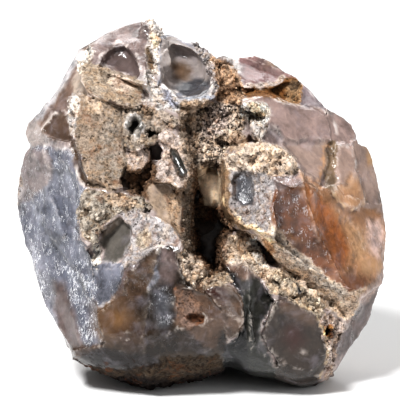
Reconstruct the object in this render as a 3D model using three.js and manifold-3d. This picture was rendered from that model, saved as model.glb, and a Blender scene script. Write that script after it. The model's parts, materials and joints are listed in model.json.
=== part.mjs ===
// A rough agate: a broken nodule of chalcedony, grown through with sandy crust, as wide as a hand.
// Glassy fracture facets, crusty lumps and open pockets stand round one deep hollow in its face, and
// its back is a few plain conchoidal breaks. It is one stone, resting on a small flat underneath.
//
// It is laid out as its face is seen: u runs right and v up across the face, and w comes out of it,
// all in millimetres from the middle. The finished stone is then leaned back and set on its flat.
import * as THREE from 'three';
import { ImprovedNoise } from 'three/addons/math/ImprovedNoise.js';
import { mergeVertices } from 'three/addons/utils/BufferGeometryUtils.js';
import Module from 'manifold-3d';

const wasm = await Module();
wasm.setup();

// ---- Driving dimensions ----
const FRONT_HEIGHT = 33; // how far the face bulges forward of the middle
const BACK_DEPTH = 38; // how far the back bulges behind it
const FRONT_FULLNESS = 2.3; // 2 is a plain ellipsoid, more is boxier
const BACK_FULLNESS = 3.2;
const RIM_SLOPE = 0.15; // the widest line runs forward as it goes down
const BACKING = -10; // solid stone everywhere behind this w, and the floor of the deep hollow
const ROOT = -20; // where ledges are rooted, inside the backing
const POCKET_POINTS = 18; // round the rim of a pocket
const CLEAR_ABOVE = 8; // how far the air of a pocket reaches past its mouth
const FLARE = 0.1; // how much a ledge widens towards its root, per mm of height
const LEAN = THREE.MathUtils.degToRad(12); // the face looks up by this much
const FLOOR = -44.6; // height of the flat underneath, before the stone is set on it
const TRIANGLES = 9500; // for the whole stone
const LONGEST_EDGE = 4; // of a facet, before the stone is roughened
const SPLINTER = 0.05; // a triangle slimmer than this is a splinter
const MOST_TURN = 0.5; // cosine of the most that a facet may turn when its neighbour goes
const SHORT_EDGES_FIRST = 1e-3; // how much sooner a shorter edge goes when the mesh is thinned
const SWELL = { size: 0.7, spacing: 17 }; // gentle unevenness of every surface
const GRAIN = { size: 0.3, spacing: 4.2 }; // and the small roughness on top of it
const FLAKE_RADIUS = 50; // of the shell-shaped hollows in the back
const KNOBBLE = 0.5; // how uneven a lump is, as a share of its size
const KNOBS = 1.7; // and how many bumps fit in half its width
const WELD = 1e-4;

const noise = new ImprovedNoise();

// ---- Making solids ----

// A closed geometry as a manifold-3d solid.
function toSolid(geometry) {
  const bare = geometry.index ? geometry.toNonIndexed() : geometry.clone();
  bare.deleteAttribute('normal');
  bare.deleteAttribute('uv');
  const merged = mergeVertices(bare, WELD);
  const vertProperties = merged.getAttribute('position').array;
  const triVerts = new Uint32Array(merged.index.array);
  return new wasm.Manifold(new wasm.Mesh({ numProp: 3, vertProperties, triVerts }));
}

// A manifold-3d solid as an indexed geometry.
function toGeometry(solid) {
  const mesh = solid.getMesh();
  const positions = new Float32Array(mesh.numVert * 3);
  for (let i = 0; i < mesh.numVert; i += 1) {
    positions.set(mesh.vertProperties.subarray(i * mesh.numProp, i * mesh.numProp + 3), i * 3);
  }
  const geometry = new THREE.BufferGeometry();
  geometry.setAttribute('position', new THREE.BufferAttribute(positions, 3));
  geometry.setIndex(Array.from(mesh.triVerts));
  return geometry;
}

function pointsOf(geometry) {
  const position = geometry.getAttribute('position');
  const at = (i) => new THREE.Vector3().fromBufferAttribute(position, i);
  return Array.from({ length: position.count }, (_, i) => at(i));
}

const joined = (solids) => solids.reduce((sum, solid) => sum.add(solid));

const counterClockwise = (outline) => {
  const points = outline.map(([u, v]) => new THREE.Vector2(u, v));
  return THREE.ShapeUtils.isClockWise(points) ? points.reverse() : points;
};

// The height w over any (u, v) of the plane through three [u, v, w] points.
function planeThrough(face) {
  const [a, b, c] = face.map((point) => new THREE.Vector3(...point));
  const { normal, constant } = new THREE.Plane().setFromCoplanarPoints(a, b, c);
  return (u, v) => -(constant + normal.x * u + normal.y * v) / normal.z;
}

// A closed skin over a stack of rings, lowest first, each counter-clockwise with equally many points.
function loft(rings) {
  const count = rings[0].length;
  const points = rings.flat();
  const index = [];
  for (let ring = 0; ring < rings.length - 1; ring += 1) {
    for (let i = 0; i < count; i += 1) {
      const here = ring * count + i;
      const next = ring * count + ((i + 1) % count);
      index.push(here, next, next + count, here, next + count, here + count);
    }
  }
  const close = (ring, facesUp) => {
    const start = ring * count;
    const middle = points.length;
    const sum = new THREE.Vector3();
    rings[ring].forEach((point) => sum.add(point));
    points.push(sum.divideScalar(count));
    for (let i = 0; i < count; i += 1) {
      const next = start + ((i + 1) % count);
      index.push(...(facesUp ? [middle, start + i, next] : [middle, next, start + i]));
    }
  };
  close(0, false);
  close(rings.length - 1, true);
  return new THREE.BufferGeometry().setFromPoints(points).setIndex(index);
}

// A ledge: an outlined block whose broken top is the plane through three points of it.
function ledge(outline, face) {
  const points = counterClockwise(outline);
  const middle = new THREE.Vector2();
  points.forEach((point) => middle.addScaledVector(point, 1 / points.length));
  const reach = points.reduce((sum, point) => sum + point.distanceTo(middle), 0) / points.length;
  const top = planeThrough(face);
  const options = { depth: 1, bevelEnabled: false };
  const geometry = new THREE.ExtrudeGeometry(new THREE.Shape(points), options);
  const position = geometry.getAttribute('position');
  for (let i = 0; i < position.count; i += 1) {
    const u = position.getX(i);
    const v = position.getY(i);
    if (position.getZ(i) > 0.5) {
      position.setZ(i, top(u, v));
    } else {
      const spread = 1 + (FLARE * (top(u, v) - ROOT)) / reach;
      position.setXYZ(i, middle.x + (u - middle.x) * spread, middle.y + (v - middle.y) * spread, ROOT);
    }
  }
  return toSolid(geometry);
}

// The level floor that shows between ledges.
const ground = (outline, w) => {
  const shape = new THREE.Shape(counterClockwise(outline));
  const geometry = new THREE.ExtrudeGeometry(shape, { depth: w - ROOT, bevelEnabled: false });
  return toSolid(geometry.translate(0, 0, ROOT));
};

// A pocket sunk into a face: round-cornered, narrowing to a share of its mouth at the floor.
function pocket(outline, mouth, depth, floorShare) {
  const knots = counterClockwise(outline).map(({ x, y }) => new THREE.Vector3(x, y, 0));
  const curve = new THREE.CatmullRomCurve3(knots, true, 'centripetal');
  const rim = curve.getSpacedPoints(POCKET_POINTS).slice(0, POCKET_POINTS);
  const middle = new THREE.Vector3();
  rim.forEach((point) => middle.addScaledVector(point, 1 / rim.length));
  const level = planeThrough(mouth);
  const ring = (sunk) => {
    const share = floorShare + (1 - floorShare) * Math.sqrt(1 - Math.max(sunk, 0) ** 2);
    return rim.map((point) => {
      const u = middle.x + (point.x - middle.x) * share;
      const v = middle.y + (point.y - middle.y) * share;
      return new THREE.Vector3(u, v, level(u, v) - sunk * depth);
    });
  };
  const above = -CLEAR_ABOVE / depth;
  return toSolid(loft([1, 0.88, 0.6, 0.25, 0, above].map(ring)));
}

// Knobbly lumps, each [u, v, w, and its half widths along u, v and w].
const lumps = (list) => list.map(([u, v, w, ru, rv, rw]) => {
  const geometry = new THREE.IcosahedronGeometry(1, 1);
  const position = geometry.getAttribute('position');
  for (let i = 0; i < position.count; i += 1) {
    const point = new THREE.Vector3().fromBufferAttribute(position, i);
    const bump = noise.noise(point.x * KNOBS + u, point.y * KNOBS + v, point.z * KNOBS + w);
    point.multiplyScalar(1 + KNOBBLE * bump);
    position.setXYZ(i, u + point.x * ru, v + point.y * rv, w + point.z * rw);
  }
  return toSolid(geometry);
});

// ---- The whole nodule: its outline, full to the front and boxier behind, with the back broken off ----
function nodule() {
  const outline = counterClockwise([
    [-19, 44.5], [-15, 45.5], [-12, 45], [-9.5, 42], [-7, 42], [-4, 40.5], [-1, 39.5], [2, 37.5],
    [3.5, 35.5], [5.5, 36.5], [11.5, 36.5], [14, 37], [17.5, 35.5], [21, 33], [24.5, 31.5], [27, 29],
    [30, 26], [32.5, 23], [36, 21.5], [38.5, 19.5], [39.5, 17], [40, 14.5], [42.5, 14], [44, 11],
    [45.5, 5.5], [46.5, -0.5], [47.5, -6.5], [47.5, -11], [47, -14.5], [46.5, -18.5], [45, -24],
    [42.5, -30], [39.5, -35], [36.5, -38.5], [34, -42.5], [30.5, -45.5], [24.5, -46], [19.5, -45],
    [14.5, -44.5], [9.5, -43], [7, -42], [4, -43.5], [-1, -45], [-7, -46], [-13.5, -47.5], [-18, -46],
    [-23.5, -44], [-29, -41.5], [-32, -40], [-33.5, -35.5], [-37, -30], [-39.5, -26], [-41, -21],
    [-42.5, -16], [-44.5, -10.5], [-46.5, -3.5], [-47, 1], [-46, 5.5], [-44.5, 10.5], [-43, 14],
    [-44.5, 17], [-44, 19.5], [-40, 23], [-36.5, 27.5], [-33.5, 33], [-31, 38], [-27.5, 40],
    [-23.5, 42.5],
  ]);
  const ring = (share, end, fullness) => outline.map(({ x, y }) => {
    const rim = -RIM_SLOPE * y;
    const rise = (1 - share ** fullness) ** (1 / fullness);
    return new THREE.Vector3(x * share, y * share, rim * share + (end - rim * share) * rise);
  });
  const shares = [0.15, 0.4, 0.6, 0.76, 0.88, 0.95, 0.985];
  const back = shares.map((share) => ring(share, -BACK_DEPTH, BACK_FULLNESS));
  const front = shares.map((share) => ring(share, FRONT_HEIGHT, FRONT_FULLNESS)).reverse();
  let body = toSolid(loft([...back, ring(1, 0, 1), ...front]));

  // Flat breaks behind: the direction each one faces, and how far from the middle it lies.
  const breaks = [
    [-0.62, 0.25, -0.75, 38], [0.55, 0.45, -0.7, 37], [0.2, -0.2, -0.96, 35], [-0.45, -0.5, -0.75, 42],
    [0.75, -0.3, -0.6, 40], [-0.1, 0.6, -0.8, 38.5], [-0.85, -0.25, -0.45, 44], [0.9, 0.1, -0.45, 45],
  ];
  breaks.forEach(([u, v, w, distance]) => {
    const out = new THREE.Vector3(u, v, w).normalize();
    body = body.trimByPlane(out.clone().negate().toArray(), -distance);
  });

  // Shallow shell-shaped hollows where flakes came off the back: the middle of the ball that fits each.
  const flakes = [[-38, 25, -70], [37, -9, -73], [-17, -42, -70], [13, 53, -62], [-78, -27, -40]];
  flakes.forEach((middle) => {
    const ball = new THREE.IcosahedronGeometry(FLAKE_RADIUS, 11).translate(...middle);
    body = body.subtract(toSolid(ball));
  });
  return body;
}

// ---- The grounds between the ledges ----
const grounds = () => [
  ground([[-27, 34], [-2.5, 33], [-1, 22], [-3.5, 2], [-2.5, -22.5], [-22, -38], [-29, -30], [-32, 12]], 7),
  ground([[-20, 45], [32.5, 30], [35, 0], [-5, 2.5], [-22.5, 35]], -9),
  ground([
    [5.5, 12.5], [28, 18], [35, 0], [35, -22], [28, -36], [6, -36], [5.5, -22.5], [12, -15.5], [11, -8],
    [6.5, -5],
  ], 6),
  // shallower ones under the small lump and beside the mauve face
  ground([[-20, 9.5], [-9, 10], [-9, 3], [-13, 0], [-20, 1]], 13),
  ground([[9, 24.5], [16.5, 24], [17, 19], [12, 17]], 5),
  ground([
    [-27.5, -22.5], [6, -22.5], [32.5, -25], [30, -42.5], [7.5, -40], [-12.5, -45], [-27.5, -40],
  ], 14),
];

// ---- The left side: a long glassy face, the facet above it, and the sandy panel beside them ----
const leftSide = () => [
  // long blue-grey face
  ledge([
    [-48, 14.5], [-39, 15.5], [-33, 15], [-32, 12.5], [-30, 8], [-28.5, 3.5], [-29, 0], [-31, -3],
    [-31, -7], [-29.5, -10.5], [-27.5, -13.5], [-26.5, -17], [-26, -22.5], [-25.5, -28], [-23.5, -34.5],
    [-30, -36.5], [-32, -43], [-40, -43], [-50, -25], [-50, 5],
  ], [[-45, 0, -3], [-29, 1, 17], [-32.5, -32.5, 12]]),
  // upper facet, running out to the glassy edge
  ledge([
    [-48, 14.5], [-46.5, 21.5], [-37.5, 28.5], [-34.5, 35], [-31, 41], [-28, 40], [-28.5, 33.5],
    [-29.5, 27.5], [-31.5, 25], [-32.5, 21], [-32.5, 14.5],
  ], [[-43, 18, -4], [-31, 35, 0], [-32.5, 17.5, 9]]),
  // sandy panel
  ledge([
    [-32, 25], [-28, 25.5], [-24, 24.5], [-19.5, 24], [-19, 18], [-18.5, 14.5], [-19, 12], [-18.5, 9],
    [-20, 5.5], [-19, 3], [-22, 3], [-25, 4.5], [-28, 5], [-29, 7], [-30, 11], [-31.5, 15], [-32.5, 18],
    [-32.5, 22],
  ], [[-31, 22.5, 15], [-19.5, 22.5, 14], [-28, 5.5, 20]]),
];

// ---- The top: the block with the cup, the crusty spine, and the block with the bowl ----
const top = () => [
  ledge([
    [-32.5, 36], [-27.5, 41], [-19, 46], [-14, 46.5], [-12.5, 44], [-13, 39], [-13.5, 34.5], [-13, 29],
    [-15.5, 29.5], [-20.5, 31.5], [-25, 33], [-29, 33.5],
  ], [[-30, 35, 2], [-16, 44.5, -8], [-20, 31.5, 9]]),
  // wall below the cup
  ledge([
    [-29.5, 34.5], [-25.5, 34], [-20.5, 32], [-15.5, 30], [-13.5, 29.5], [-14, 25], [-15, 23], [-19, 23],
    [-22, 24], [-25.5, 25], [-28, 27], [-29.5, 30],
  ], [[-27.5, 32.5, 7], [-15, 29.5, 8], [-21, 24.5, 15]]),
  // spine
  ledge([
    [-15, 46.5], [-11, 45.5], [-9, 41.5], [-8, 37.5], [-8, 34], [-9.5, 31], [-10.5, 29], [-13, 29.5],
    [-13.5, 35], [-13, 40],
  ], [[-12.5, 44, -5], [-12, 30.5, 9], [-9, 37.5, 1]]),
  // block with the bowl
  ledge([
    [-10.5, 42.5], [-6.5, 43], [-0.5, 40.5], [4, 37.5], [4, 33], [4.5, 28.5], [3.5, 25.5], [-1, 24],
    [-5.5, 24], [-8, 26.5], [-10.5, 29], [-10, 32.5], [-9, 37.5],
  ], [[-2.5, 39.5, -6], [-2.5, 27.5, 9], [-9, 30, 6]]),
  // rusty wall and brown recess to its right
  ledge([
    [3, 36], [9, 35.5], [10, 31], [11, 27.5], [10.5, 23.5], [3.5, 23.5], [3.5, 30],
  ], [[6.5, 34.5, -7], [6.5, 25, 0], [10, 27.5, -3]]),
  ledge([
    [10, 29.5], [25.5, 30.5], [26, 23], [20, 24], [15.5, 25], [10, 23.5],
  ], [[12, 24.5, -4], [24, 24.5, -6], [18, 29, -8]]),
  // mauve block at the upper right, and the shoulder below it
  ledge([
    [9, 35.5], [11.5, 38], [15.5, 38.5], [22.5, 35], [26, 32], [25.5, 30], [22.5, 30], [20.5, 29.5],
    [18, 28], [14.5, 28], [11, 28], [10, 31],
  ], [[11, 34.5, -8], [23, 31, -10], [14, 28.5, -1]]),
  ledge([
    [25.5, 30.5], [29.5, 28.5], [34.5, 22.5], [32, 21], [29, 22], [26, 23], [25, 25.5],
  ], [[26, 24, -1], [33, 22, -4], [28, 29, -8]]),
];

// ---- The middle: crusty blocks with holes between the sandy panel and the deep hollow ----
const middle = () => [
  // white web below the spine
  ledge([
    [-14, 30], [-12, 31], [-9.5, 30], [-7, 27.5], [-5, 25], [-4, 22], [-5, 18.5], [-7, 18], [-9.5, 20],
    [-12.5, 22], [-14, 24],
  ], [[-12.5, 30, 9], [-5.5, 23, 12], [-12.5, 23, 14]]),
  // block with two holes
  ledge([
    [-19.5, 23.5], [-14.5, 24], [-12, 23.5], [-7, 22], [-5.5, 19], [-7, 17.5], [-9.5, 17], [-10, 14.5],
    [-13, 14], [-15, 12], [-17.5, 12.5], [-19, 14.5],
  ], [[-18.5, 22.5, 15], [-7, 21.5, 13], [-15, 14, 18]]),
  // small lump
  ledge([
    [-18.5, 12], [-15, 13], [-12.5, 12], [-12.5, 10], [-13.5, 8], [-15, 7], [-17.5, 7.5], [-19, 10],
  ], [[-18.5, 11.5, 17], [-12.5, 11.5, 15], [-15.5, 7.5, 19]]),
  // slotted rib
  ledge([
    [-10, 16.5], [-8, 18], [-6, 17.5], [-4, 15], [-3, 12.5], [-2.5, 9], [-2, 6.5], [-3, 4], [-5, 3],
    [-7, 4.5], [-10, 4.5], [-11.5, 6], [-11, 8], [-9.5, 9.5], [-9, 12], [-10.5, 14],
  ], [[-9, 16.5, 16], [-3, 6.5, 22], [-10, 5.5, 20]]),
  // smooth column under the rib
  ledge([
    [-12.5, 4], [-10, 5], [-6, 4.5], [-4.5, 3], [-4, -1], [-4.5, -6], [-4, -10.5], [-7, -8], [-10, -5],
    [-12, -2.5], [-13.5, 0],
  ], [[-12, 0, 21], [-5, 0, 16], [-9, -8, 23]]),
  // band of crusty lumps
  ledge([
    [-29, 3], [-25.5, 4], [-22.5, 3], [-19, 2.5], [-15.5, 1], [-12.5, -1], [-11.5, -3.5], [-19, -3.5],
    [-22, -5.5], [-24.5, -7], [-26, -10], [-27.5, -11.5], [-29.5, -9.5], [-30.5, -5.5], [-30, -2],
  ], [[-28.5, 1, 19], [-15, -1, 20], [-27, -9, 22]]),
  // left wall of the deep hollow
  ledge([
    [-5.5, 3.5], [-3, 4], [-2, 0], [-2.5, -6], [-2.5, -10], [-1.5, -14.5], [-2.5, -15.5], [-4.5, -12],
    [-5, -6],
  ], [[-5, 4, 15], [-5, -12, 18], [-2, -4, 9]]),
  // dark, speckled block over the deep hollow
  ledge([
    [-0.5, 24], [4, 25], [9, 24.5], [11.5, 22], [13, 18], [12, 13.5], [8, 12], [5.5, 10], [1, 10],
    [-1, 12.5], [-2, 17.5], [-2.5, 22],
  ], [[0, 22.5, 3], [10, 22.5, 6], [4, 12.5, 9]]),
];

// ---- The bottom: big glassy breaks that meet at ridges, under a chalky cap ----
const bottom = () => [
  // chalky cap
  ledge([
    [-20, -3.5], [-16.5, -2.5], [-13, -3], [-10, -4], [-7, -6], [-5, -9], [-4, -11.5], [-5, -13],
    [-7, -12], [-10, -11.5], [-12.5, -12], [-15, -13], [-17.5, -15.5], [-19.5, -18.5], [-20, -16.5],
    [-18.5, -14.5], [-17, -11.5], [-17, -8], [-18, -5.5],
  ], [[-17.5, -4, 22], [-5.5, -10, 26], [-19, -16, 25]]),
  // small grey facet and the blue triangle under it
  ledge([
    [-25.5, -10], [-23.5, -7], [-21, -4], [-19, -3], [-17.5, -6], [-17, -12], [-18.5, -14.5], [-20, -16.5],
    [-24, -16], [-27, -15], [-28, -12.5],
  ], [[-25, -12.5, 18], [-18, -6, 20], [-19.5, -15, 23.5]]),
  ledge([
    [-27, -14.5], [-19, -15.5], [-19.5, -19.5], [-21, -22.5], [-23, -25], [-25, -28], [-26.5, -25],
    [-27, -20],
  ], [[-26, -17.5, 19], [-19.5, -17, 24.5], [-24, -25, 22.5]]),
  // big bottom face
  ledge([
    [-12.5, -11.5], [-10, -11], [-7.5, -11.5], [-6, -13.5], [-5, -17], [-3.5, -21], [0, -22.5], [2.5, -24.5],
    [6, -26], [5.5, -31.5], [6, -34.5], [6.5, -40.5], [7, -46.5], [-12.5, -51], [-28.5, -46], [-33.5, -41.5],
    [-30.5, -36.5], [-26, -36], [-23, -35], [-25, -30.5], [-25.5, -28], [-23, -25.5], [-20.5, -22.5],
    [-19.5, -19], [-18.5, -16], [-15.5, -13],
  ], [[-10, -12.5, 26], [-22.5, -30, 24], [1, -32.5, 28]]),
  // pale flake standing on it
  ledge([
    [1.5, -22], [3.5, -21], [6, -20.5], [8, -21.5], [9.5, -23], [10.5, -25.5], [11, -29], [10, -31.5],
    [8.5, -34], [6.5, -35], [5.5, -31.5], [6, -26], [2.5, -24.5],
  ], [[2.5, -23, 28.5], [10, -27.5, 27], [7, -34, 28.6]]),
  // dark faces either side of the light sliver
  ledge([
    [5.5, -21], [7.5, -19], [9.5, -16.5], [11.5, -16], [12, -21], [12.5, -27.5], [13.5, -36], [13.5, -46],
    [10, -46], [6, -43], [6, -34.5], [10, -33.5], [11, -28], [10, -23.5], [8, -21],
  ], [[9, -20, 24], [12.5, -25, 25.5], [7.5, -39, 22]]),
  ledge([
    [11.5, -16], [13.5, -18], [15.5, -20.5], [17.5, -22.5], [20, -25], [18, -28], [16.5, -30.5],
    [15.5, -33], [17, -36.5], [19, -39.5], [19.5, -46.5], [13.5, -46], [13.5, -36], [12.5, -27.5],
    [12, -21],
  ], [[12.5, -17.5, 25], [17, -25, 21], [13.5, -39, 24]]),
  // round lobe at the lower right, and its crusty side
  ledge([
    [19, -25], [22.5, -24.5], [26, -26], [28.5, -28], [30, -30.5], [31, -34], [32, -37.5], [31.5, -41.5],
    [31, -46], [24, -49], [19.5, -47], [19.5, -39.5], [17, -37], [15.5, -33], [17, -30], [18, -27.5],
  ], [[17, -32.5, 24], [30.5, -34, 21], [24, -25.5, 25]]),
  ledge([
    [29, -27.5], [33, -27], [36.5, -29], [38, -32], [38, -36], [35, -41], [32.5, -45], [30.5, -46.5],
    [31.5, -40.5], [31.5, -37], [30.5, -33.5],
  ], [[30.5, -30, 18], [37, -32, 9], [32, -43, 10]]),
  // crusty ledge above the lobe
  ledge([
    [14, -16.5], [17, -16], [20, -17], [23, -18.5], [26, -22], [29, -25], [30.5, -28], [29, -29.5],
    [26, -27], [22.5, -25.5], [19.5, -25.5], [16.5, -22],
  ], [[15.5, -21, 24], [29, -29.5, 22.5], [20, -17, 18.5]]),
  // crusty lobe, amber lump and sill at the foot of the deep hollow
  ledge([
    [6, -11.5], [7.5, -9], [9, -8], [11.5, -8], [14, -10.5], [16, -14], [17.5, -17], [16.5, -19.5],
    [14, -18], [11.5, -16], [9.5, -17], [7.5, -18.5], [6, -15.5],
  ], [[7.5, -10, 13], [15.5, -15.5, 15], [8, -17, 20]]),
  ledge([
    [-5.5, -12.5], [-3.5, -13], [-2, -14.5], [0, -16], [2, -18], [1.5, -21], [-0.5, -22.5], [-3, -22],
    [-5, -18],
  ], [[-4.5, -14, 24], [1, -19, 21], [-2.5, -21, 26]]),
  ledge([
    [0.5, -20], [5.5, -19], [8, -18], [7.5, -21], [3.5, -21.5], [1.5, -23], [-0.5, -22.5],
  ], [[1, -19.5, 24], [7, -18, 23], [4, -21.5, 26]]),
];

// ---- The right side: a grey disc, the orange slab with its crusty rim, and the mauve faces above ----
const rightSide = () => [
  // disc
  ledge([
    [6, 10], [8.5, 11], [11.5, 10.5], [15.5, 8.5], [18, 5.5], [19, 2], [18, -1.5], [19, -5.5], [18, -8.5],
    [14.5, -7.5], [10, -6], [7.5, -4], [6, -1], [6, 2.5],
  ], [[6.5, 5, 22], [17.5, 4, 25.5], [12.5, -5.5, 26]]),
  // crusty rim that runs down under the slab
  ledge([
    [9, -4.5], [13, -6.5], [16.5, -7.5], [21, -11.5], [25, -15], [29.5, -18.5], [33.5, -21], [38, -22.5],
    [39, -25], [38, -29.5], [36, -31], [33, -28], [29.5, -25], [26, -21], [22.5, -17.5], [20, -15.5],
    [17, -11.5], [14, -9], [11.5, -7.5], [8.5, -7],
  ], [[11, -5.5, 25.5], [32.5, -21, 19], [17, -13, 20]]),
  // cream lumps above the disc
  ledge([
    [6.5, 9.5], [7.5, 12], [11.5, 13], [14, 14], [17, 13.5], [20.5, 13], [22.5, 10.5], [24.5, 7.5],
    [25, 4.5], [22, 3], [18.5, 4.5], [15.5, 7], [11.5, 8.5], [8.5, 9],
  ], [[9, 11, 21], [21, 11, 21], [21, 5, 26]]),
  // orange slab, broken along a ridge
  ledge([
    [17.5, 3], [21.5, 4], [25, 5], [26, 1], [28, -4], [30, -9.5], [33, -15.5], [34.5, -19], [37, -23],
    [33.5, -21.5], [29, -19], [25, -15.5], [21, -12], [17.5, -8.5], [18, -1.5],
  ], [[18.5, 1, 24], [31, -20, 19], [27.5, -4, 23]]),
  ledge([
    [25, 5], [29.5, 2.5], [32.5, 4], [35.5, 0.5], [41, 0], [48, -1], [50.5, -10], [49, -19], [43, -22.5],
    [38.5, -26], [37, -23], [34.5, -19], [33, -15.5], [30, -9.5], [28, -4], [26, 1],
  ], [[27.5, -4, 23], [32.5, -15.5, 19.5], [46, -10, -1]]),
  // mauve face above the slab
  ledge([
    [9.5, 24], [12.5, 25], [15.5, 26], [19, 25.5], [22.5, 24], [26.5, 23], [29.5, 22.5], [32, 21],
    [33, 18], [33, 14], [32.5, 9], [31, 5.5], [29.5, 2.5], [26.5, 4], [24.5, 7], [22, 10], [19.5, 12.5],
    [17, 13.5], [14.5, 14.5], [12.5, 17], [13, 19], [15.5, 20], [16.5, 21.5], [14, 23],
  ], [[15.5, 15.5, 18], [32, 19, 2], [28, 5.5, 14]]),
  // the steps that fall away to the right of it
  ledge([
    [32.5, 18.5], [34.5, 14], [34, 9], [34.5, 5], [33.5, 1.5], [29.5, 2.5], [31, 5.5], [32.5, 9.5],
  ], [[32.5, 18, 2], [34.5, 2, 8.5], [31, 6, 10.5]]),
  ledge([
    [32, 24], [35.5, 23.5], [39.5, 21], [41.5, 17.5], [40.5, 14], [36.5, 13.5], [34, 13.5], [33, 18],
  ], [[33.5, 21, -2], [39.5, 18, -7], [36, 14.5, 0]]),
  ledge([
    [34, 14], [36.5, 14.5], [38.5, 13.5], [39.5, 9], [40.5, 4], [41.5, 0], [40, -1.5], [38, -2],
    [35.5, -1], [33, 2], [34.5, 5], [33.5, 9],
  ], [[35, 12.5, 4], [40.5, 0, 3], [35, 1.5, 8.5]]),
  ledge([
    [38, 15], [43, 16], [46.5, 12.5], [48.5, 6], [50, -6.5], [45, -4], [41.5, -1], [40, 7.5],
  ], [[39.5, 12.5, -1], [44, 10, -6], [42.5, -2, 0]]),
  // glassy foot under the rim
  ledge([
    [34, -30], [38, -29], [40, -25], [44, -21], [50, -16], [49, -28], [42, -38], [35, -44], [33, -41],
    [36, -36],
  ], [[36, -31, 8], [46, -20, 0], [38, -39, 3]]),
];

// ---- Pockets, holes and the long crack ----
const pockets = () => [
  // dark corner by the sandy panel
  pocket([
    [-40, 17.5], [-36, 22], [-32, 22.5], [-32, 15], [-37, 15.5],
  ], [[-39, 17.5, 2], [-32.5, 22, 7], [-32.5, 15.5, 9]], 2, 0.9),
  // cup
  pocket([
    [-25.5, 33.5], [-24.5, 36.5], [-22, 39], [-19.5, 39.5], [-17, 38], [-15.5, 35], [-15, 31.5],
    [-16, 30.5], [-18.5, 31], [-21, 33], [-23.5, 34],
  ], [[-25, 34, 6], [-20, 39, 2], [-15.5, 31, 9]], 6.5, 0.45),
  // bowl
  pocket([
    [-8, 39.5], [-4, 39], [-1, 37.5], [1.5, 35], [3, 32], [3, 28.5], [1, 26.5], [-2.5, 25.5], [-5.5, 26],
    [-8, 28.5], [-9.5, 31], [-9.5, 35], [-8.5, 38],
  ], [[-4, 39.5, -5], [-2.5, 27.5, 9], [-9, 31, 5]], 8.5, 0.35),
  // the two holes beside the white web, and the slit and notch above them
  pocket([
    [-17.5, 20.5], [-16, 21], [-14.5, 20], [-14.5, 18.5], [-15.5, 17], [-16.5, 15.5], [-18, 17], [-18, 19],
  ], [[-17.5, 20.5, 15], [-14.5, 19, 15], [-16.5, 15.5, 17]], 4.5, 0.6),
  pocket([
    [-13.5, 17.5], [-10, 17.5], [-9.5, 16], [-11, 15], [-13, 15],
  ], [[-13.5, 17.5, 16], [-10, 17.5, 15], [-11.5, 15, 17]], 9, 0.6),
  pocket([
    [-14.5, 29], [-13.5, 28.5], [-12.5, 27], [-12.5, 25.5], [-14, 25.5], [-14.5, 27],
  ], [[-14.5, 29, 10], [-12.5, 26.5, 12], [-14, 25, 13]], 3.5, 0.6),
  pocket([
    [-19, 23], [-17, 22.5], [-14.5, 24], [-14, 23], [-16.5, 22], [-18.5, 21.5],
  ], [[-19, 23, 15], [-14, 23.5, 14], [-17.5, 22, 15]], 4.5, 0.8),
  // slot in the rib
  pocket([
    [-7.5, 13], [-6, 12.5], [-4.5, 10.5], [-3, 7.5], [-2.5, 6], [-4, 5], [-5.5, 7], [-7, 10],
  ], [[-7, 13, 18], [-3, 7.5, 21], [-4, 5, 22]], 1.8, 0.6),
  // pit among the crusty lumps
  pocket([
    [-28.5, -2], [-27, -2.5], [-26, -5], [-27, -6], [-28.5, -4],
  ], [[-28.5, -2, 20], [-26, -4, 21], [-27.5, -6, 21]], 4, 0.6),
  // pit beside the mauve face
  pocket([
    [12, 23], [14.5, 23], [16.5, 21.5], [15.5, 20], [13, 20], [11.5, 21],
  ], [[12.5, 22.5, 12], [16.5, 21.5, 14], [13, 20, 14]], 6, 0.6),
  // hollow of the disc
  pocket([
    [8, 7], [11, 8], [14.5, 6], [15.5, 2], [14.5, -2.5], [11.5, -4.5], [8.5, -3], [7.5, 2],
  ], [[6.5, 5, 22], [17.5, 4, 25.5], [12.5, -5.5, 26]], 1.8, 0.35),
  // dull patch sunk in the big bottom face
  pocket([
    [-6, -23], [-3.5, -22], [0, -22.5], [2.5, -23], [3.5, -25], [5.5, -26.5], [5.5, -31], [3.5, -34],
    [0, -33], [-4, -33], [-6, -31.5], [-7, -28], [-6.5, -25],
  ], [[-6, -24, 27], [5, -27.5, 28], [-1, -33, 28]], 0.9, 0.85),
  // hole in the crusty side of the lobe
  pocket([
    [30.5, -31.5], [32.5, -31], [33, -33], [32, -34.5], [30.5, -33.5],
  ], [[30.5, -32.5, 17], [32.5, -32.5, 13], [31.5, -34.5, 15]], 5, 0.5),
];

// The long crack under the slab's rim, as the wedge of air that fills it.
function crack() {
  const outline = counterClockwise([
    [12.5, -8], [14.5, -9.5], [18.5, -14.5], [21, -16.5], [25, -20.5], [29.5, -25], [33, -27.5], [35, -29],
    [34.5, -29.7], [31.5, -27.8], [28.5, -25.6], [24, -21.5], [20, -17.5], [17.5, -16], [13.5, -11],
  ]);
  const floor = planeThrough([[14, -10, 8], [25, -21, 12], [34, -29, 8]]);
  const geometry = new THREE.ExtrudeGeometry(new THREE.Shape(outline), { depth: 50, bevelEnabled: false });
  const position = geometry.getAttribute('position');
  for (let i = 0; i < position.count; i += 1) {
    if (position.getZ(i) < 1) position.setZ(i, floor(position.getX(i), position.getY(i)));
  }
  return toSolid(geometry);
}

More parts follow.
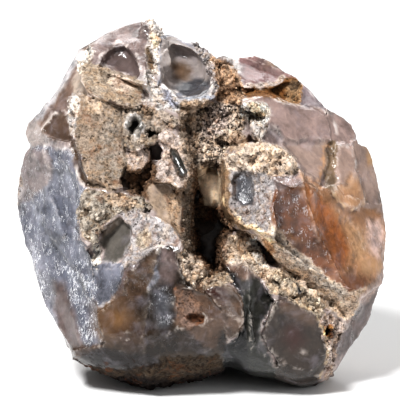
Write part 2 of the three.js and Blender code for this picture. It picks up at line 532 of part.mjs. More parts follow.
// ---- Crusty lumps ----
const crust = () => lumps([
  // along the spine
  [-12.5, 41.5, -5, 3, 3.4, 3.6], [-10.5, 38.5, -2, 2.6, 3, 3.2], [-10, 35, 2.5, 2.6, 3.2, 3],
  [-11, 31, 7, 2.4, 2.4, 2.4],
  // across the middle band
  [-23.5, 0.5, 18, 4.2, 3, 3.6], [-19, -1.5, 18.5, 3.6, 2.8, 3.4], [-28.5, -6.5, 19, 2.6, 3.6, 3.2],
  [-25, -3, 19, 3, 3, 3], [-15, -2, 19.5, 3, 2.4, 3],
  // on the speckled block
  [3, 20, 2, 5, 4.6, 5.5], [7, 17.5, 6, 4.4, 4, 5], [1.5, 14.5, 4, 3.6, 4, 5], [6, 22, 3, 4, 3, 5],
  [10, 15, 10, 2.8, 3, 4],
  // above the disc
  [11, 11, 21.5, 3.8, 3, 4], [14, 12, 21.5, 3.4, 3, 4.4], [18, 11, 22.5, 3.6, 3.4, 4],
  [21, 8.5, 24, 3, 3, 3.4], [15.5, 9, 23, 3.2, 2.6, 3.4],
  // inside the deep hollow
  [3, 3, -2, 3.2, 6.5, 5], [1, -3, -8, 3.6, 5, 5], [0, 10, 4, 2.6, 4, 4],
  // at its foot
  [-1, -17.5, 20, 2.8, 3, 4], [-3.5, -15.5, 22, 1.8, 2.6, 3], [10, -11.5, 11, 3.6, 3.8, 4.4],
  [13, -15.5, 15, 3.4, 3, 4],
  // along the ledge over the lobe
  [18, -19, 19.5, 3, 2, 3], [22.5, -22, 20, 3.6, 2.6, 4], [26.5, -25, 19, 3, 2.4, 3.4],
  // round the holes and the rib
  [-9, 20.5, 12, 3.6, 2.6, 3], [-12.5, 19.5, 13, 2, 2, 2.4], [-15.5, 10, 15, 3.2, 2.6, 3.4],
  [-9, 7, 18.5, 2.4, 2.6, 3.2], [-8, 15, 16, 2.2, 2.4, 3],
  // in the rusty wall and on the lobe's side
  [6, 35, -9, 2.6, 1.6, 3], [7, 29, -4, 3, 5, 3], [34.5, -30.5, 10, 3, 3.2, 4], [33, -36, 9, 2.8, 3.4, 4],
]);

// ---- Roughening ----

// Every edge that is too long to bend is split at its middle, until none is left.
function splitLongEdges(geometry) {
  const points = pointsOf(geometry);
  let triangles = Array.from(geometry.index.array);
  let splits = 1;
  while (splits > 0) {
    const middles = new Map();
    const middleOf = (a, b) => {
      const key = a < b ? `${a},${b}` : `${b},${a}`;
      if (!middles.has(key)) {
        const long = points[a].distanceTo(points[b]) > LONGEST_EDGE;
        middles.set(key, long ? points.push(points[a].clone().lerp(points[b], 0.5)) - 1 : null);
      }
      return middles.get(key);
    };
    const finer = [];
    splits = 0;
    for (let i = 0; i < triangles.length; i += 3) {
      let [a, b, c] = triangles.slice(i, i + 3);
      let [ab, bc, ca] = [middleOf(a, b), middleOf(b, c), middleOf(c, a)];
      const cuts = [ab, bc, ca].filter((middle) => middle !== null).length;
      splits += cuts;
      // turned so that the one cut edge, or the one uncut edge, comes first
      const isFirst = () => (cuts === 1) === (ab !== null);
      while ((cuts === 1 || cuts === 2) && !isFirst()) {
        [a, b, c, ab, bc, ca] = [b, c, a, bc, ca, ab];
      }
      if (cuts === 0) finer.push(a, b, c);
      if (cuts === 1) finer.push(a, ab, c, ab, b, c);
      if (cuts === 2) finer.push(a, b, bc, a, bc, ca, ca, bc, c);
      if (cuts === 3) finer.push(a, ab, ca, ab, b, bc, ca, bc, c, ab, bc, ca);
    }
    triangles = finer;
  }
  return new THREE.BufferGeometry().setFromPoints(points).setIndex(triangles);
}

// Shifts every point by smooth noise, so that no break stays perfectly flat and no edge straight.
function roughen(geometry) {
  const shift = (point, { size, spacing }, seed) => {
    const [x, y, z] = point.toArray().map((value) => value / spacing + seed);
    const along = (offset) => size * noise.noise(x + offset, y - offset, z + 2 * offset);
    return new THREE.Vector3(along(0), along(31.4), along(62.8));
  };
  const points = pointsOf(geometry);
  points.forEach((point) => point.add(shift(point, SWELL, 7.3)).add(shift(point, GRAIN, 3.1)));
  return new THREE.BufferGeometry().setFromPoints(points).setIndex(geometry.index);
}

// Thins a closed mesh to a number of triangles. Edges collapse one by one, first those whose loss moves
// the surface least, by the squared distance to the planes that met at their ends.
function thinOut(geometry, target) {
  const points = pointsOf(geometry);
  const around = points.map(() => new Set());
  const planes = points.map(() => new Float64Array(10));
  const faces = [];
  const normalOf = ([a, b, c]) => b.clone().sub(a).cross(c.clone().sub(a));
  for (let i = 0; i < geometry.index.count; i += 3) {
    const face = Array.from(geometry.index.array.slice(i, i + 3));
    const corners = face.map((point) => points[point]);
    const normal = normalOf(corners);
    const area = normal.length();
    normal.divideScalar(area || 1);
    const plane = [...normal.toArray(), -normal.dot(corners[0])];
    const products = plane.flatMap((value, row) => plane.slice(row).map((other) => area * value * other));
    face.forEach((point) => {
      around[point].add(face);
      products.forEach((product, k) => { planes[point][k] += product; });
    });
    faces.push(face);
  }
  const distance = (sum, { x, y, z }) => (
    sum[0] * x * x + sum[4] * y * y + sum[7] * z * z + sum[9]
    + 2 * (sum[1] * x * y + sum[2] * x * z + sum[3] * x + sum[5] * y * z + sum[6] * y + sum[8] * z)
  );
  const neighbours = (point) => new Set([...around[point]].flat().filter((other) => other !== point));

  // The cheapest place for an edge's two ends to meet: at either one, or half way.
  function candidate(a, b) {
    const sum = planes[a].map((value, k) => value + planes[b][k]);
    const short = SHORT_EDGES_FIRST * points[a].distanceToSquared(points[b]);
    const places = [points[a], points[b], points[a].clone().lerp(points[b], 0.5)];
    const costs = places.map((place) => distance(sum, place) + short);
    const cost = Math.min(...costs);
    return { a, b, cost, sum, place: places[costs.indexOf(cost)] };
  }

  // Whether the surface stays one closed skin, with no face turned over or squeezed to a splinter.
  function allows({ a, b, place }) {
    const beyond = neighbours(b);
    if ([...neighbours(a)].filter((point) => beyond.has(point)).length !== 2) return false;
    return [a, b].every((end) => [...around[end]].every((face) => {
      if (face.includes(a) && face.includes(b)) return true;
      const before = face.map((point) => points[point]);
      const after = face.map((point) => (point === end ? place : points[point]));
      const [old, turned] = [normalOf(before), normalOf(after)];
      const slimness = (corners, normal) => normal.length() / Math.max(
        corners[0].distanceToSquared(corners[1]),
        corners[1].distanceToSquared(corners[2]),
        corners[2].distanceToSquared(corners[0]),
      );
      const slim = slimness(before, old);
      if (slim < SPLINTER) return slimness(after, turned) >= slim;
      return slimness(after, turned) > SPLINTER && old.normalize().dot(turned.normalize()) > MOST_TURN;
    }));
  }

  const live = new Set(faces);
  let collapsed = 1;
  while (live.size > target && collapsed > 0) {
    const edges = [];
    live.forEach((face) => face.forEach((a, k) => {
      const b = face[(k + 1) % 3];
      if (a < b) edges.push(candidate(a, b));
    }));
    edges.sort((one, other) => one.cost - other.cost);
    const settled = new Set();
    collapsed = 0;
    for (const edge of edges.slice(0, Math.ceil(edges.length / 3))) {
      const { a, b, place, sum } = edge;
      if (live.size <= target) break;
      if (settled.has(a) || settled.has(b) || !allows(edge)) continue;
      [...neighbours(a), ...neighbours(b)].forEach((point) => settled.add(point));
      points[a] = place.clone();
      planes[a] = sum;
      [...around[b]].forEach((face) => {
        if (face.includes(a)) {
          face.forEach((point) => around[point].delete(face));
          live.delete(face);
        } else {
          face[face.indexOf(b)] = a;
          around[a].add(face);
        }
      });
      collapsed += 1;
    }
  }
  const corners = [...live].flat().map((point) => points[point]);
  return mergeVertices(new THREE.BufferGeometry().setFromPoints(corners), WELD);
}

// ---- The stone ----
function stone() {
  const body = nodule();
  const ledges = [leftSide(), top(), middle(), bottom(), rightSide()].flat();
  const relief = joined([...grounds(), ...ledges]);
  const backing = body.trimByPlane([0, 0, -1], -BACKING);
  const carved = body.intersect(relief).add(backing);
  const opened = carved.subtract(joined(pockets())).subtract(crack());
  const crusted = opened.add(joined(crust()));
  const rough = thinOut(roughen(splitLongEdges(toGeometry(crusted))), TRIANGLES);
  const leaned = toSolid(rough.rotateX(Math.PI / 2 - LEAN)).trimByPlane([0, 0, 1], FLOOR);
  const geometry = toGeometry(leaned);
  geometry.computeBoundingBox();
  const { min, max } = geometry.boundingBox;
  geometry.translate(-(min.x + max.x) / 2, -(min.y + max.y) / 2, -min.z);
  geometry.computeVertexNormals();
  return geometry;
}

const agate = new THREE.Group();
const material = new THREE.MeshStandardMaterial({ color: 0x8a7668, roughness: 0.45, metalness: 0 });
const mesh = new THREE.Mesh(stone(), material);
mesh.name = 'rough_agate';
agate.add(mesh);

export default agate;
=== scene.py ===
import json
import math

import bmesh
import bpy
import numpy as np
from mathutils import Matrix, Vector, kdtree, noise

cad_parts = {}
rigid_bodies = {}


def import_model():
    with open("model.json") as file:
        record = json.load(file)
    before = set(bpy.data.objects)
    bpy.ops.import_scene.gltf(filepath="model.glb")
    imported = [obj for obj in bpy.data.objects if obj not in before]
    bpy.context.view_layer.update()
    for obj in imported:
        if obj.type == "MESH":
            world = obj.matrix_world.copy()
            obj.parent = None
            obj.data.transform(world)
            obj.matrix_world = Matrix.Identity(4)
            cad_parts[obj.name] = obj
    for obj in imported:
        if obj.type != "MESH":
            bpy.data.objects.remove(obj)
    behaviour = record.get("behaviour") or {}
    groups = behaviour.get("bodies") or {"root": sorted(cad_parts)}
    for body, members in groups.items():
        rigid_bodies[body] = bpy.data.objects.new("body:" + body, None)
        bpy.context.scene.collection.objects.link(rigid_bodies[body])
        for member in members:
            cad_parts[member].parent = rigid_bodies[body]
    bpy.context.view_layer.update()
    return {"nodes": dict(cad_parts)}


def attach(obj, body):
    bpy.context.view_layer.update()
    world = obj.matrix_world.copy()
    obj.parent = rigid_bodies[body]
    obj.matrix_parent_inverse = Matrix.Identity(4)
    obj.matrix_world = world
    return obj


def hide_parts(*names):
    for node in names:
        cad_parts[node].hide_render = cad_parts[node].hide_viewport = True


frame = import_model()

# ---- The stone ----
# One broken nodule of chalcedony. Its facets, ledges and pockets come from the CAD solid, and are
# drawn finer here: the breaks are eased smooth between their edges, and then the crust is pitted.
MM = 0.001
SKIN_STEP = 0.48
EDGE_ANGLE = math.radians(27)
EDGE_KEPT = (0.2, 1.3)
CALMING_PASSES = 90

bpy.ops.object.select_all(action="DESELECT")
stone = bpy.data.objects.new("stone", frame["nodes"]["rough_agate"].data.copy())
bpy.context.scene.collection.objects.link(stone)
bpy.context.view_layer.objects.active = stone
stone.select_set(True)
stone.data.materials.clear()
bpy.ops.object.mode_set(mode="EDIT")
bpy.ops.mesh.select_all(action="SELECT")
bpy.ops.mesh.remove_doubles(threshold=1e-6)
bpy.ops.object.mode_set(mode="OBJECT")


def read(piece, what, width):
    """A number or a vector for every point of a piece."""
    numbers = np.empty(len(piece.data.vertices) * width, np.float32)
    piece.data.vertices.foreach_get(what, numbers)
    return numbers.reshape(-1, width).astype(float)


def ramp(values, low, high):
    """Smoothly from 0 at low to 1 at high."""
    share = np.clip((values - low) / (high - low), 0, 1)
    return share * share * (3 - 2 * share)


def tree_of(spots):
    """The spots, sorted so that the nearest is found quickly."""
    tree = kdtree.KDTree(len(spots))
    for number, spot in enumerate(spots):
        tree.insert(spot, number)
    tree.balance()
    return tree


def along_edges(piece, sharper_than):
    """Spots every third of a millimetre along the sharp edges of a piece."""
    drawn = bmesh.new()
    drawn.from_mesh(piece.data)
    spots = []
    for edge in drawn.edges:
        if len(edge.link_faces) == 2 and edge.calc_face_angle(0) > sharper_than:
            a, b = (vert.co / MM for vert in edge.verts)
            steps = max(1, int((b - a).length * 3))
            spots += [a.lerp(b, step / steps) for step in range(steps + 1)]
    drawn.free()
    return spots


def set_group(piece, name, weights):
    """A vertex group with a weight for every point, in twentieths."""
    group = piece.vertex_groups.new(name=name)
    for level in range(1, 21):
        chosen = np.flatnonzero(np.round(weights * 20) == level)
        group.add(chosen.tolist(), level / 20, "REPLACE")


def finish_with(piece, kind, **settings):
    """Adds a modifier and applies it."""
    modifier = piece.modifiers.new(kind.lower(), kind)
    for name, value in settings.items():
        setattr(modifier, name, value)
    bpy.ops.object.modifier_apply(modifier=modifier.name)


edges = tree_of(along_edges(stone, EDGE_ANGLE))
stone.data.remesh_voxel_size = SKIN_STEP * MM
bpy.ops.object.voxel_remesh()
from_edge = np.array([edges.find(spot)[2] for spot in read(stone, "co", 3) / MM])
set_group(stone, "calm", ramp(from_edge, *EDGE_KEPT))
finish_with(stone, "SMOOTH", factor=0.5, iterations=CALMING_PASSES, vertex_group="calm")

# ---- Where each finish lies ----
# The stone's face is drawn as it is seen from in front, leaned back, on squared paper with four
# squares to the millimetre. Each break, ledge and patch of crust is an outline on that paper.
# MIDDLE is the spot of the stone under the paper's middle, and PAPER_AT is how far in front of it the
# paper is held. VIEWED_FROM is how far from the paper the eye is. All three are in millimetres.
LEAN = math.radians(12)
MIDDLE = (-0.43, -2.99, 44.6)
PAPER_MIDDLE = 200
SQUARES = 4
VIEWED_FROM = 833
PAPER_AT = 10


def on_paper(spots):
    """Where spots of the stone lie on the paper, across and down, and how far they stand out of it."""
    across, back, up = (spots - MIDDLE).T
    height = back * math.sin(LEAN) + up * math.cos(LEAN)
    out = up * math.sin(LEAN) - back * math.cos(LEAN)
    scale = SQUARES / (1 - (out - PAPER_AT) / VIEWED_FROM)
    return np.stack([PAPER_MIDDLE + across * scale, PAPER_MIDDLE - height * scale], 1), out


def inside(drawn, outline, softness):
    """1 well inside an outline, 0 well outside it, and a soft change over its line."""
    corners = np.array(outline, float)
    low, high = corners.min(0) - softness, corners.max(0) + softness
    near = np.flatnonzero(((drawn > low) & (drawn < high)).all(1))
    x, y = drawn[near].T
    within = np.zeros(len(near), bool)
    apart = np.full(len(near), 1e9)
    for (ax, ay), (bx, by) in zip(corners, np.roll(corners, -1, 0)):
        length_squared = (bx - ax) ** 2 + (by - ay) ** 2
        run = np.clip(((x - ax) * (bx - ax) + (y - ay) * (by - ay)) / length_squared, 0, 1)
        apart = np.minimum(apart, np.hypot(x - ax - run * (bx - ax), y - ay - run * (by - ay)))
        if ay != by:
            within ^= ((ay > y) != (by > y)) & (x < ax + (bx - ax) * (y - ay) / (by - ay))
    share = np.zeros(len(drawn))
    share[near] = ramp(np.where(within, apart, -apart), -softness / 2, softness / 2)
    return share


def uneven(spots, size, seed):
    """A wavering number from about -1 to 1 at every spot, in waves about a size long."""
    shift = Vector((seed * 13.7, seed * 5.1, seed * 9.3))
    return np.array([noise.noise(Vector(spot) / size + shift) for spot in spots])


GLASSY, WAXY, GRITTY, SANDY = 0, 0.4, 0.7, 1
BASE = (146, 132, 128)
BEHIND = (138, 128, 122)
CRUST_BEHIND = (190, 168, 138)

# Shades of this stone, from its darkest glass to its whitest crust.
shades = {
    "ink": (24, 18, 16), "coal": (22, 22, 22), "peat": (36, 27, 20), "mahogany": (48, 24, 18),
    "chocolate": (54, 36, 22), "soot": (46, 37, 31), "smoke": (46, 46, 42), "umber": (66, 50, 38),
    "sepia": (66, 57, 48), "chestnut": (90, 54, 32), "bark": (80, 63, 52), "ash": (65, 65, 69),
    "toffee": (92, 70, 52), "tawny": (106, 78, 50), "loam": (100, 80, 64), "lead": (86, 82, 77),
    "taupe": (92, 79, 76), "rust": (118, 82, 48), "sienna": (118, 80, 58), "slate": (84, 86, 96),
    "mink": (106, 87, 77), "copper": (142, 86, 46), "plum": (114, 88, 86), "dove": (96, 97, 106),
    "hazel": (120, 100, 80), "mushroom": (115, 104, 93), "dusk": (112, 102, 100),
    "mauve": (120, 104, 100), "amber": (142, 105, 77), "camel": (142, 116, 88), "dun": (137, 122, 108),
    "pewter": (122, 122, 130), "gravel": (136, 125, 114), "lilac": (134, 120, 122),
    "rose": (141, 121, 115), "honey": (166, 130, 98), "fog": (140, 131, 127), "clay": (150, 129, 119),
    "sand": (148, 134, 119), "steel": (136, 136, 146), "oat": (150, 141, 130), "blush": (160, 137, 126),
    "buff": (160, 141, 123), "peach": (180, 139, 106), "biscuit": (156, 142, 130),
    "fawn": (174, 146, 122), "pearl": (156, 150, 149), "ice": (147, 151, 161), "linen": (168, 155, 139),
    "straw": (176, 158, 140), "petal": (182, 156, 146), "shell": (174, 160, 152),
    "frosted": (174, 170, 170), "cream": (188, 172, 157), "apricot": (240, 166, 112),
    "bone": (190, 179, 168), "parchment": (200, 181, 163), "chalk": (192, 186, 182),
    "ivory": (230, 208, 182), "milk": (222, 212, 206), "white": (246, 240, 232)}

# name, finish, shade, softness, white frost with painted glints, pepper, outline
patches = [
    # left side
    ("long face", GLASSY, "dove", 3, 0.5, 0, [
        (0, 140), (45, 146), (72, 150), (78, 178), (86, 186), (84, 200), (76, 212), (80, 240),
        (90, 255), (97, 262), (98, 300), (97, 335), (85, 345), (70, 392), (0, 392)]),
    ("its shoulder", GLASSY, "dusk", 3, 0.35, 0, [
        (20, 146), (48, 150), (54, 170), (48, 184), (34, 198), (14, 205), (10, 180)]),
    ("its blue middle", GLASSY, "slate", 8, 0.4, 0, [
        (50, 196), (70, 190), (76, 215), (78, 250), (68, 266), (48, 252), (38, 226)]),
    ("its bruised foot", GLASSY, "slate", 6, 1, 0, [
        (60, 262), (78, 258), (94, 285), (100, 300), (98, 332), (104, 344), (84, 348), (74, 330),
        (64, 300)]),
    ("its bruised rim", GLASSY, "pewter", 5, 0.9, 0, [
        (28, 235), (40, 250), (50, 280), (60, 312), (64, 336), (56, 338), (42, 305), (30, 268)]),
    ("its brown strip", GLASSY, "taupe", 8, 0.05, 0, [
        (53, 282), (64, 282), (75, 316), (84, 348), (78, 366), (62, 345), (55, 315)]),
    ("its brown sole", WAXY, "umber", 5, 0.05, 0, [
        (66, 345), (84, 346), (104, 342), (112, 360), (96, 372), (70, 366)]),
    ("crust on its rim", GRITTY, "pearl", 4, 0, 0.1, [
        (14, 178), (20, 172), (24, 186), (20, 206), (12, 210)]),
    ("upper facet", GLASSY, "mink", 2, 0.05, 0, [
        (22, 124), (40, 88), (60, 56), (76, 40), (96, 42), (92, 62), (80, 70), (74, 84), (74, 96),
        (70, 112), (70, 142), (46, 141), (30, 146), (20, 140)]),
    ("its pale edge", GLASSY, "frosted", 4, 0.2, 0, [
        (20, 130), (38, 98), (60, 62), (76, 44), (84, 52), (68, 80), (50, 108), (36, 124)]),
    ("dark corner", GLASSY, "bark", 2, 0, 0, [
        (41, 131), (50, 118), (56, 113), (71, 112), (71, 141), (62, 140), (50, 136)]),
    ("its cream tip", WAXY, "fog", 3, 0.3, 0, [
        (22, 118), (34, 117), (42, 132), (50, 139), (60, 142), (44, 146), (26, 148), (20, 136)]),
    ("pink shoulder", WAXY, "biscuit", 3, 0.1, 0, [
        (72, 84), (76, 70), (84, 66), (92, 76), (92, 90), (84, 98), (74, 98)]),
    ("white top edge", SANDY, "white", 2, 0, 0, [
        (76, 56), (90, 46), (95, 50), (90, 60), (84, 72), (78, 74)]),
    ("sandy panel", GRITTY, "dun", 2, 0, 0.1, [
        (73, 96), (90, 96), (108, 100), (126, 104), (128, 122), (126, 150), (132, 172), (124, 186),
        (112, 192), (100, 188), (86, 188), (81, 160), (75, 138), (71, 118)]),
    ("its grey side", GRITTY, "gravel", 10, 0, 0.25, [
        (106, 112), (124, 112), (124, 150), (128, 176), (112, 182), (96, 168), (100, 140)]),
    ("its brown head", GRITTY, "straw", 7, 0, 0.05, [(84, 94), (110, 98), (104, 112), (88, 112)]),
    ("cream rib beside it", SANDY, "chalk", 2, 0, 0, [
        (69, 100), (75, 94), (80, 100), (77, 118), (74, 136), (69, 134)]),
    ("brown wall under it", GLASSY, "umber", 2, 0, 0, [
        (69, 137), (76, 140), (84, 168), (89, 187), (82, 185), (74, 162)]),
    ("wall under the cup", GRITTY, "sand", 5, 0, 0.02, [
        (82, 62), (98, 60), (110, 68), (124, 74), (140, 76), (144, 86), (143, 103), (132, 106),
        (112, 102), (98, 96), (88, 92), (82, 80)]),
    ("its orange side", GRITTY, "sand", 6, 0, 0, [(88, 64), (100, 64), (106, 78), (100, 90), (90, 84)]),
    ("its brown middle", GRITTY, "cream", 6, 0, 0, [
        (112, 72), (134, 78), (136, 90), (118, 92), (108, 82)]),
    # top
    ("cup block", GLASSY, "mauve", 2, 0.25, 0, [
        (92, 62), (94, 46), (108, 34), (124, 26), (144, 18), (151, 24), (150, 44), (148, 60), (146, 72),
        (140, 78), (124, 74), (108, 67)]),
    ("cup", GLASSY, "taupe", 2, 0, 0, [
        (98, 62), (102, 54), (110, 46), (118, 42), (128, 46), (136, 54), (141, 66), (138, 78),
        (124, 73), (110, 67)]),
    ("spine", SANDY, "chalk", 2, 0, 0.15, [
        (146, 18), (158, 18), (166, 34), (170, 50), (168, 62), (160, 72), (152, 78), (147, 70),
        (146, 50), (149, 36)]),
    ("rust on the spine", SANDY, "ivory", 4, 0, 0.2, [(151, 34), (158, 34), (159, 46), (153, 50)]),
    ("dark seam of the spine", GRITTY, "hazel", 2, 0, 0.8, [
        (146, 50), (150, 46), (153, 58), (154, 70), (149, 70)]),
    ("bowl block", GLASSY, "pewter", 2, 0.2, 0, [
        (160, 36), (172, 32), (192, 38), (206, 50), (216, 70), (216, 94), (206, 100), (184, 100),
        (168, 92), (158, 84)]),
    ("bowl", GLASSY, "fog", 3, 0, 0, [
        (162, 40), (168, 36), (178, 38), (190, 45), (200, 56), (207, 67), (212, 80), (210, 92),
        (200, 97), (184, 95), (172, 90), (162, 84), (160, 66)]),
    ("brown cloud in the bowl", GLASSY, "loam", 8, 0, 0, [
        (172, 64), (184, 62), (192, 70), (184, 80), (174, 78)]),
    ("blue floor of the bowl", GLASSY, "ash", 5, 0.05, 0, [
        (172, 88), (184, 82), (196, 79), (208, 80), (212, 90), (204, 97), (186, 97)]),
    ("peppered rim of the bowl", SANDY, "pearl", 2, 0, 0.8, [
        (186, 36), (198, 42), (210, 54), (216, 70), (218, 90), (213, 96), (210, 78), (204, 62),
        (194, 48)]),
    ("white lip of the bowl", GRITTY, "ice", 2, 0, 0.1, [
        (176, 94), (188, 97), (202, 97), (212, 92), (217, 96), (208, 102), (186, 101)]),
    ("rusty wall", SANDY, "fawn", 3, 0, 0.35, [
        (208, 56), (226, 60), (236, 70), (243, 84), (247, 94), (240, 104), (226, 106), (216, 100),
        (217, 84), (214, 66)]),
    ("rust under the bowl", SANDY, "buff", 4, 0, 0.3, [
        (180, 101), (208, 100), (216, 104), (206, 112), (190, 118), (180, 112)]),
    ("mauve block", GLASSY, "plum", 2, 0.1, 0, [
        (222, 54), (240, 52), (256, 50), (272, 56), (300, 74), (298, 80), (284, 76), (278, 82),
        (256, 87), (244, 85), (237, 70)]),
    ("its grey end", GLASSY, "chalk", 3, 0.5, 0.1, [(222, 54), (238, 56), (242, 76), (236, 70)]),
    ("its white lip", GRITTY, "shell", 1.5, 0, 0, [
        (242, 83), (256, 85), (276, 80), (282, 73), (285, 76), (280, 83), (258, 89), (244, 88)]),
    ("brown recess", GRITTY, "rust", 2, 0, 0.3, [
        (245, 88), (258, 89), (280, 84), (286, 77), (298, 78), (303, 88), (302, 106), (284, 104),
        (270, 99), (247, 100)]),
    ("its yellow knobs", SANDY, "camel", 4, 0, 0.2, [(286, 82), (300, 80), (302, 102), (286, 102)]),
    ("small mauve facet", GLASSY, "lilac", 2, 0.1, 0, [
        (303, 84), (314, 84), (326, 100), (332, 110), (302, 107)]),
    # middle
    ("white web", GRITTY, "chalk", 2, 0, 0.55, [
        (144, 70), (152, 76), (162, 86), (174, 92), (182, 104), (178, 114), (166, 110), (156, 112),
        (146, 108), (142, 98), (144, 84)]),
    ("grey flecks in it", SANDY, "steel", 5, 0, 0.6, [
        (160, 84), (168, 90), (178, 104), (174, 110), (164, 98)]),
    ("block with holes", SANDY, "gravel", 2, 0, 0.2, [
        (124, 106), (142, 104), (156, 110), (172, 114), (180, 122), (174, 130), (164, 132), (160, 142),
        (148, 146), (140, 152), (130, 150), (124, 140)]),
    ("tan lump by it", GRITTY, "biscuit", 3, 0, 0, [
        (152, 111), (164, 110), (172, 116), (170, 125), (158, 128), (151, 122)]),
    ("rim of the hole", GRITTY, "chalk", 2, 0, 0.05, [
        (126, 117), (134, 113), (142, 117), (146, 126), (142, 135), (136, 140), (130, 135),
        (125, 126)]),
    ("the hole", GLASSY, "lead", 1.5, 0, 0, [
        (127, 118), (135, 115), (143, 118), (144, 127), (138, 138), (131, 134), (127, 126)]),
    ("slit over it", GLASSY, "milk", 1.5, 0, 0, [
        (142, 85), (147, 84), (150, 92), (149, 99), (144, 98)]),
    ("brown above the notch", SANDY, "buff", 3, 0, 0.1, [
        (144, 106), (151, 106), (151, 118), (145, 121)]),
    ("shadowed crust", SANDY, "loam", 4, 0, 0.1, [
        (128, 166), (150, 160), (162, 172), (162, 186), (148, 200), (130, 194), (124, 186)]),
    ("small lump", GRITTY, "shell", 2, 0, 0, [
        (126, 152), (134, 150), (142, 145), (149, 149), (151, 158), (143, 170), (134, 170),
        (127, 163)]),
    ("slotted rib", GRITTY, "shell", 2, 0, 0.3, [
        (158, 132), (168, 128), (182, 138), (188, 154), (192, 172), (188, 187), (178, 186), (166, 182),
        (155, 178), (157, 160), (164, 150), (158, 142)]),
    ("its slot", WAXY, "smoke", 1.5, 0, 0, [
        (171, 149), (177, 151), (184, 162), (187, 172), (184, 178), (177, 170), (172, 158)]),
    ("crusty band", SANDY, "oat", 2, 0, 0.12, [
        (84, 188), (100, 190), (112, 194), (126, 194), (142, 198), (152, 206), (148, 215), (130, 215),
        (118, 213), (108, 222), (99, 234), (94, 246), (82, 236), (77, 214)]),
    ("orange in it", SANDY, "buff", 5, 0, 0, [
        (104, 194), (122, 192), (138, 202), (128, 208), (110, 204)]),
    ("smooth column", WAXY, "buff", 3, 0.15, 0.1, [
        (148, 186), (160, 181), (178, 183), (184, 192), (181, 212), (180, 238), (170, 230), (158, 216),
        (148, 206)]),
    ("its amber side", GRITTY, "buff", 6, 0, 0.05, [
        (166, 196), (178, 190), (180, 212), (178, 232), (170, 224)]),
    ("hollow's left wall", SANDY, "mushroom", 4, 0, 0.1, [
        (182, 180), (192, 176), (196, 200), (194, 240), (196, 262), (186, 256), (180, 238),
        (182, 210)]),
    ("deep hollow", SANDY, "loam", 5, 0, 0.15, [
        (190, 160), (206, 158), (222, 166), (224, 206), (234, 228), (226, 242), (224, 256), (228, 272),
        (206, 280), (196, 270), (192, 240), (192, 200)]),
    ("tan column in it", WAXY, "ivory", 4, 0.12, 0.1, [
        (197, 168), (210, 165), (222, 174), (225, 190), (219, 206), (206, 204), (197, 190)]),
    ("speckled block", SANDY, "cream", 4, 0, 1, [
        (184, 112), (206, 106), (220, 102), (238, 106), (246, 116), (246, 128), (238, 136), (228, 148),
        (222, 164), (204, 164), (192, 170), (184, 150), (178, 128)]),
    ("its brown side", SANDY, "dun", 7, 0, 0.4, [
        (178, 112), (196, 110), (198, 150), (190, 176), (182, 150)]),
    ("its white face", SANDY, "shell", 6, 0, 1, [
        (206, 108), (222, 104), (232, 114), (222, 134), (206, 140), (200, 124)]),
    ("cream curl", SANDY, "buff", 3, 0, 0.1, [
        (226, 140), (235, 132), (246, 134), (250, 144), (244, 152), (230, 152)]),
    # bottom
    ("big bottom face", GLASSY, "peat", 2, 0.12, 0, [
        (98, 308), (112, 298), (122, 272), (140, 258), (158, 246), (178, 243), (184, 262), (196, 280),
        (224, 285), (226, 340), (226, 400), (60, 400), (70, 366), (104, 344), (98, 330)]),
    ("its brown shoulder", GLASSY, "umber", 7, 0.15, 0, [
        (120, 278), (140, 260), (156, 250), (154, 280), (140, 300), (114, 302)]),
    ("its dark side", GLASSY, "taupe", 8, 0.1, 0, [
        (160, 248), (176, 250), (180, 268), (172, 286), (156, 284)]),
    ("its pink edge", WAXY, "taupe", 3, 0.3, 0, [
        (110, 300), (118, 288), (121, 272), (130, 264), (140, 258), (138, 264), (128, 272), (122, 290),
        (112, 306)]),
    ("orange glow", GLASSY, "toffee", 22, 0, 0, [
        (94, 304), (112, 294), (130, 302), (138, 322), (128, 342), (108, 346), (94, 330)]),
    ("its bright heart", GLASSY, "tawny", 10, 0, 0, [(113, 312), (122, 312), (124, 322), (114, 326)]),
    ("amber cloud", GLASSY, "chocolate", 16, 0, 0, [(116, 332), (146, 328), (152, 342), (128, 350)]),
    ("blue haze", GLASSY, "ash", 14, 0.35, 0, [
        (152, 290), (163, 284), (172, 296), (174, 318), (168, 332), (157, 328), (152, 308)]),
    ("pale sliver", GLASSY, "pewter", 1.5, 0.2, 0, [
        (156, 264), (160, 276), (155, 284), (149, 292), (147, 289), (152, 276)]),
    # The underside is painted near black: partly its own dark crust, partly painted shade where the
    # stone turns under.
    ("dark sole", GRITTY, "sepia", 14, 0.05, 0.1, [
        (70, 372), (100, 358), (150, 356), (222, 352), (230, 372), (226, 405), (60, 405)]),
    ("red brown in the sole", WAXY, "ink", 8, 0, 0, [
        (84, 352), (104, 348), (130, 354), (150, 352), (160, 362), (130, 370), (104, 368), (84, 362)]),
    ("rough underside", SANDY, "ink", 8, 0, 0.1, [
        (60, 352), (84, 366), (110, 376), (140, 376), (170, 380), (200, 374), (228, 368), (262, 380),
        (300, 386), (320, 382), (330, 410), (60, 410)]),
    ("dull brown patch", WAXY, "bark", 4, 0.1, 0.05, [
        (174, 284), (190, 288), (206, 286), (222, 292), (223, 334), (216, 350), (204, 346), (190, 332),
        (176, 326)]),
    ("its crusty side", GRITTY, "mink", 5, 0, 0.1, [
        (174, 288), (192, 292), (204, 308), (202, 324), (188, 330), (176, 318)]),
    ("its red pits", SANDY, "sienna", 2.5, 0, 0, [
        (186, 316), (196, 314), (205, 317), (203, 323), (192, 323)]),
    ("standing flake", GLASSY, "bark", 1.5, 0.15, 0, [
        (205, 285), (222, 283), (234, 287), (241, 297), (244, 312), (243, 325), (238, 335), (227, 341),
        (223, 330), (222, 312), (222, 300), (208, 295)]),
    ("its brown head", GLASSY, "mahogany", 4, 0, 0, [
        (206, 285), (220, 284), (226, 292), (222, 300), (208, 295)]),
    ("left dark face", GLASSY, "coal", 2, 0.1, 0, [
